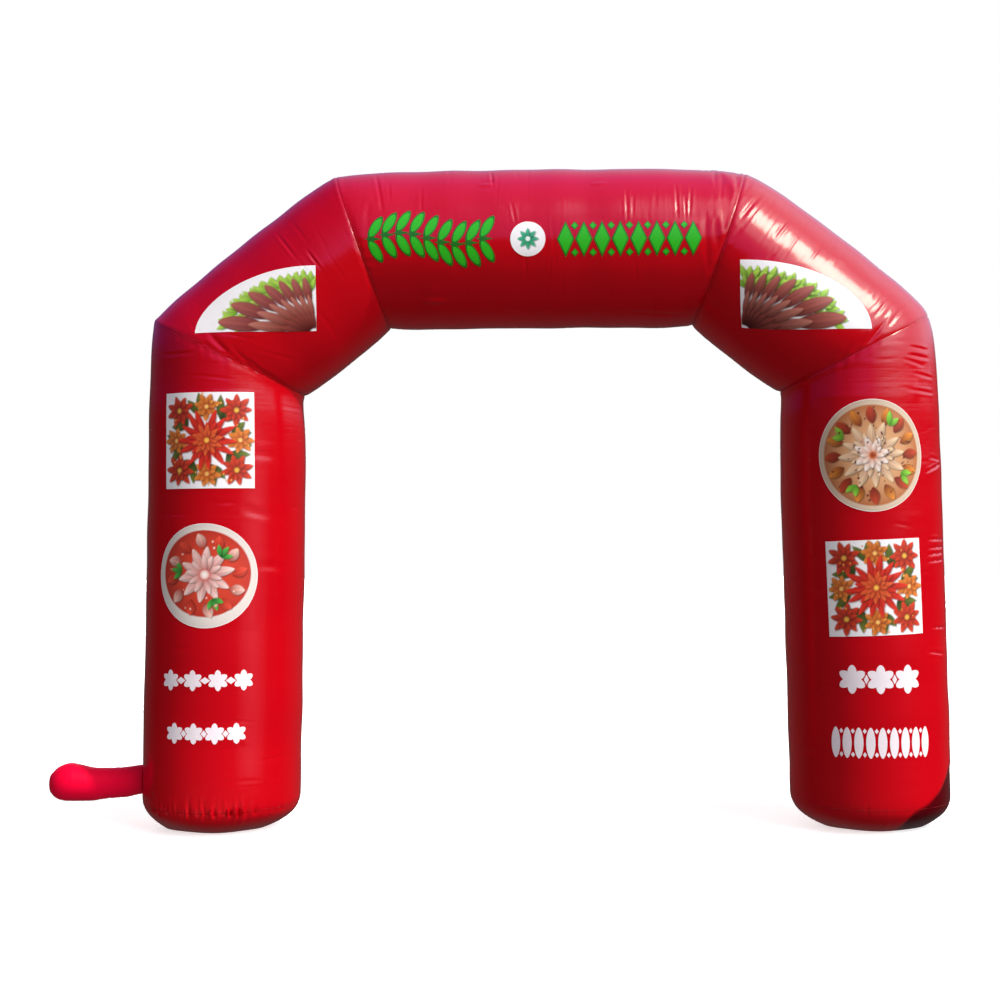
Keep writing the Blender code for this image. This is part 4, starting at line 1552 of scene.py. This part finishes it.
Lamp = namedtuple("Lamp", "name towards strength degrees color glossy")
LAMPS = (  # far lamps. A glossy one shows only as a glint, and the others light only dull surfaces
    Lamp("soft_key", (0.68, -0.58, 0.45), 2.3, 45, (1.0, 1.0, 1.0), False),
    Lamp("low_lamp", (0.608, -0.351, 0.712), 2.7, 2.5, (1.0, 0.99, 0.97), False),
    Lamp("glint_lamp", (0.538, -0.496, 0.682), 2.4, 24, (0.95, 1.0, 0.80), True),
    Lamp("glint_halo", (0.522, -0.534, 0.664), 0.9, 56, (0.8, 0.95, 1.0), True),
    Lamp("back_lamp", (-0.25, 0.95, 0.20), 1.4, 40, (1.0, 1.0, 1.0), False),
)
Fill = namedtuple("Fill", "name place target width height power glossy")
FILLS = (  # soft panels. Three over one another give the glow on the left leg its soft sides
    Fill("left_bounce", (-2.15, -1.25, 0.01), (-2.15, -1.25, 1.0), 1.7, 1.0, 4, False),
    Fill("right_bounce", (2.75, -1.25, 0.01), (2.75, -1.25, 1.0), 1.7, 1.0, 0.8, False),
    Fill("left_leg_glow_narrow", (0.1, -2.0, 1.5), (-1.7, -0.5, 1.5), 0.7, 3.0, 0.36, True),
    Fill("left_leg_glow_middle", (0.1, -2.0, 1.5), (-1.7, -0.5, 1.5), 1.3, 3.0, 0.60, True),
    Fill("left_leg_glow_wide", (0.1, -2.0, 1.5), (-1.7, -0.5, 1.5), 2.0, 3.0, 0.80, True),
)
GLOW_SPREAD = math.radians(60)
GLOW_COLOR = (0.9, 0.75, 1.0)
WHITE = (1, 1, 1, 1)
SOFT_LIGHT = (0.29, 0.28, 0.29, 1)  # what dull surfaces get from every side
SURROUND = {  # what shiny cloth mirrors, in linear colours
    "near_ground": (0.015, 0.008, 0.008, 1),
    "far_ground": (0.07, 0.06, 0.06, 1),
    "left_sky": (0.08, 0.03, 0.28, 1),
    "middle_sky": (0.38, 0.31, 1.10, 1),
    "right_sky": (0.4, 1.55, 1.95, 1),
    "left_haze": (0.20, 0.10, 0.38, 1),
    "right_haze": (0.50, 0.74, 1.05, 1),
}
Blend = namedtuple("Blend", "name axis low high first second")
BLENDS = (  # each goes softly from its first colour to its second along one axis of the direction
    Blend("ground", "Y", 0.1, 0.8, "near_ground", "far_ground"),
    Blend("left_half", "X", -0.5, 0.1, "left_sky", "middle_sky"),
    Blend("near_sky", "X", 0.12, 0.52, "left_half", "right_sky"),
    Blend("haze", "X", -0.4, 0.4, "left_haze", "right_haze"),
    Blend("sky", "Y", 0.3, 0.8, "near_sky", "haze"),
    Blend("surround", "Z", 0.09, 0.19, "ground", "sky"),
)
FLOOR_SIZE = 60.0
SENSOR_WIDTH = 36


class ARCH_OT_stage(bpy.types.Operator):
    """Sets the floor, the light and the camera"""

    bl_idname = "arch.stage"
    bl_label = "Stage"

    def execute(self, context):
        scene = context.scene
        self.add_floor(scene.arch_colors)
        self.add_world(scene)
        for lamp in LAMPS:
            sun = bpy.data.lights.new(lamp.name, "SUN")
            sun.energy = lamp.strength
            sun.angle = math.radians(lamp.degrees)
            sun.color = lamp.color
            self.add_light(sun, Vector(lamp.towards).to_track_quat("Z", "Y"), lamp.glossy)
        for fill in FILLS:
            panel = bpy.data.lights.new(fill.name, "AREA")
            panel.shape = "RECTANGLE"
            panel.size, panel.size_y = fill.width, fill.height
            panel.energy = fill.power
            if fill.glossy:
                panel.spread = GLOW_SPREAD
                panel.color = GLOW_COLOR
            turn = (Vector(fill.target) - Vector(fill.place)).to_track_quat("-Z", "Y")
            light = self.add_light(panel, turn, fill.glossy)
            light.location = fill.place
            light.visible_camera = False
        self.add_camera(scene, scene.arch_stage)
        scene.view_settings.view_transform = "Standard"
        return {"FINISHED"}

    def add_floor(self, colors):
        """Painted studio floor: matt and nearly white, so the arch leaves only a faint shadow."""
        material, tree = new_material("painted_studio_floor")
        place = add_node(tree, "ShaderNodeTexCoord").outputs["Object"]
        values = {"Vector": place, "Scale": 0.8, "Detail": 2.0}
        mottle = add_node(tree, "ShaderNodeTexNoise", inputs=values).outputs["Fac"]
        values = {"Factor": mottle, "A": colors.floor, "B": WHITE}
        mixed = add_node(tree, "ShaderNodeMix", {"data_type": "RGBA"}, values).outputs["Result"]
        values = {"Base Color": mixed, "Roughness": 0.9, "Specular IOR Level": 0.0}
        values |= {"Emission Color": WHITE, "Emission Strength": 0.68}
        shader = add_node(tree, "ShaderNodeBsdfPrincipled", inputs=values)
        add_node(tree, "ShaderNodeOutputMaterial", inputs={"Surface": shader.outputs["BSDF"]})
        mesh = bpy.data.meshes.new("studio_floor")
        corners = [(-1, -1, 0), (1, -1, 0), (1, 1, 0), (-1, 1, 0)]
        mesh.from_pydata(np.multiply(corners, FLOOR_SIZE), [], [(0, 1, 2, 3)])
        mesh.materials.append(material)
        floor = bpy.data.objects.new("studio_floor", mesh)
        bpy.context.scene.collection.objects.link(floor)
        floor.visible_diffuse = False
        floor.visible_glossy = False

    def add_world(self, scene):
        """White behind the arch, and for the cloth a soft sky over darker ground."""
        world = bpy.data.worlds.new("studio_surround")
        world.use_nodes = True
        tree = world.node_tree
        tree.nodes.clear()
        direction = add_node(tree, "ShaderNodeTexCoord").outputs["Generated"]
        towards = add_node(tree, "ShaderNodeSeparateXYZ", inputs={"Vector": direction}).outputs
        found = dict(SURROUND)
        for blend in BLENDS:
            values = {"Value": towards[blend.axis], "From Min": blend.low, "From Max": blend.high}
            rise = add_node(tree, "ShaderNodeMapRange", {"interpolation_type": "SMOOTHSTEP"}, values)
            values = {"Factor": rise.outputs["Result"], "A": found[blend.first], "B": found[blend.second]}
            mixed = add_node(tree, "ShaderNodeMix", {"data_type": "RGBA"}, values)
            found[blend.name] = mixed.outputs["Result"]
        path = add_node(tree, "ShaderNodeLightPath").outputs
        shown = found["surround"]
        for ray, color in (("Is Diffuse Ray", SOFT_LIGHT), ("Is Camera Ray", WHITE)):
            values = {"Factor": path[ray], "A": shown, "B": color}
            shown = add_node(tree, "ShaderNodeMix", {"data_type": "RGBA"}, values).outputs["Result"]
        background = add_node(tree, "ShaderNodeBackground", inputs={"Color": shown})
        add_node(tree, "ShaderNodeOutputWorld", inputs={"Surface": background.outputs["Background"]})
        scene.world = world

    def add_light(self, lamp, turn, glossy):
        """Places a lamp that either lights dull surfaces or shows as a reflection on glossy ones."""
        light = bpy.data.objects.new(lamp.name, lamp)
        light.rotation_euler = turn.to_euler()
        light.visible_diffuse = not glossy
        light.visible_glossy = glossy
        bpy.context.scene.collection.objects.link(light)
        return light

    def add_camera(self, scene, stage):
        """A camera in front of the arch's middle, a little turned, tilted and rolled."""
        data = bpy.data.cameras.new("front_camera")
        data.lens = stage.lens
        data.sensor_width = SENSOR_WIDTH
        camera = bpy.data.objects.new("front_camera", data)
        flat = math.cos(stage.pitch)
        sight = Vector((math.sin(stage.yaw) * flat, math.cos(stage.yaw) * flat, math.sin(stage.pitch)))
        level = sight.cross(Vector((0, 0, 1))).normalized()
        upright = level.cross(sight)
        right = level * math.cos(stage.roll) + upright * math.sin(stage.roll)
        top = -level * math.sin(stage.roll) + upright * math.cos(stage.roll)
        matrix = Matrix((right, top, -sight)).transposed().to_4x4()
        matrix.translation = Vector((MIDDLE_X, -stage.distance, stage.height))
        camera.matrix_world = matrix
        scene.collection.objects.link(camera)
        scene.camera = camera


class ARCH_PT_panel(bpy.types.Panel):
    """Lists the arch's operators and its sizes, colours and camera."""

    bl_label = "Inflatable arch"
    bl_idname = "ARCH_PT_panel"
    bl_space_type = "VIEW_3D"
    bl_region_type = "UI"
    bl_category = "Arch"

    def draw(self, context):
        for operator in OPERATORS:
            self.layout.operator(operator.bl_idname)
        for group in (context.scene.arch_sizes, context.scene.arch_colors, context.scene.arch_stage):
            for name in group.__annotations__:
                self.layout.prop(group, name)


OPERATORS = (
    ARCH_OT_air_tubes,
    ARCH_OT_foot_panels,
    ARCH_OT_sleeve,
    ARCH_OT_stitches,
    ARCH_OT_films,
    ARCH_OT_ornaments,
    ARCH_OT_stage,
)
GROUPS = {"arch_sizes": ArchSizes, "arch_colors": ArchColors, "arch_stage": ArchStage}
CLASSES = (*GROUPS.values(), *OPERATORS, ARCH_PT_panel)


def register():
    """Adds the groups, operators and panel to Blender."""
    for made in CLASSES:
        bpy.utils.register_class(made)
    for name, group in GROUPS.items():
        setattr(bpy.types.Scene, name, PointerProperty(type=group))


def unregister():
    """Takes them out again."""
    for name in GROUPS:
        delattr(bpy.types.Scene, name)
    for made in reversed(CLASSES):
        bpy.utils.unregister_class(made)


def main():
    """Builds the whole arch with its stage."""
    register()
    bpy.ops.arch.air_tubes()
    bpy.ops.arch.foot_panels()
    bpy.ops.arch.sleeve()
    bpy.ops.arch.stitches()
    bpy.ops.arch.films()
    bpy.ops.arch.ornaments()
    bpy.ops.arch.stage()


if __name__ == "__main__":
    main()
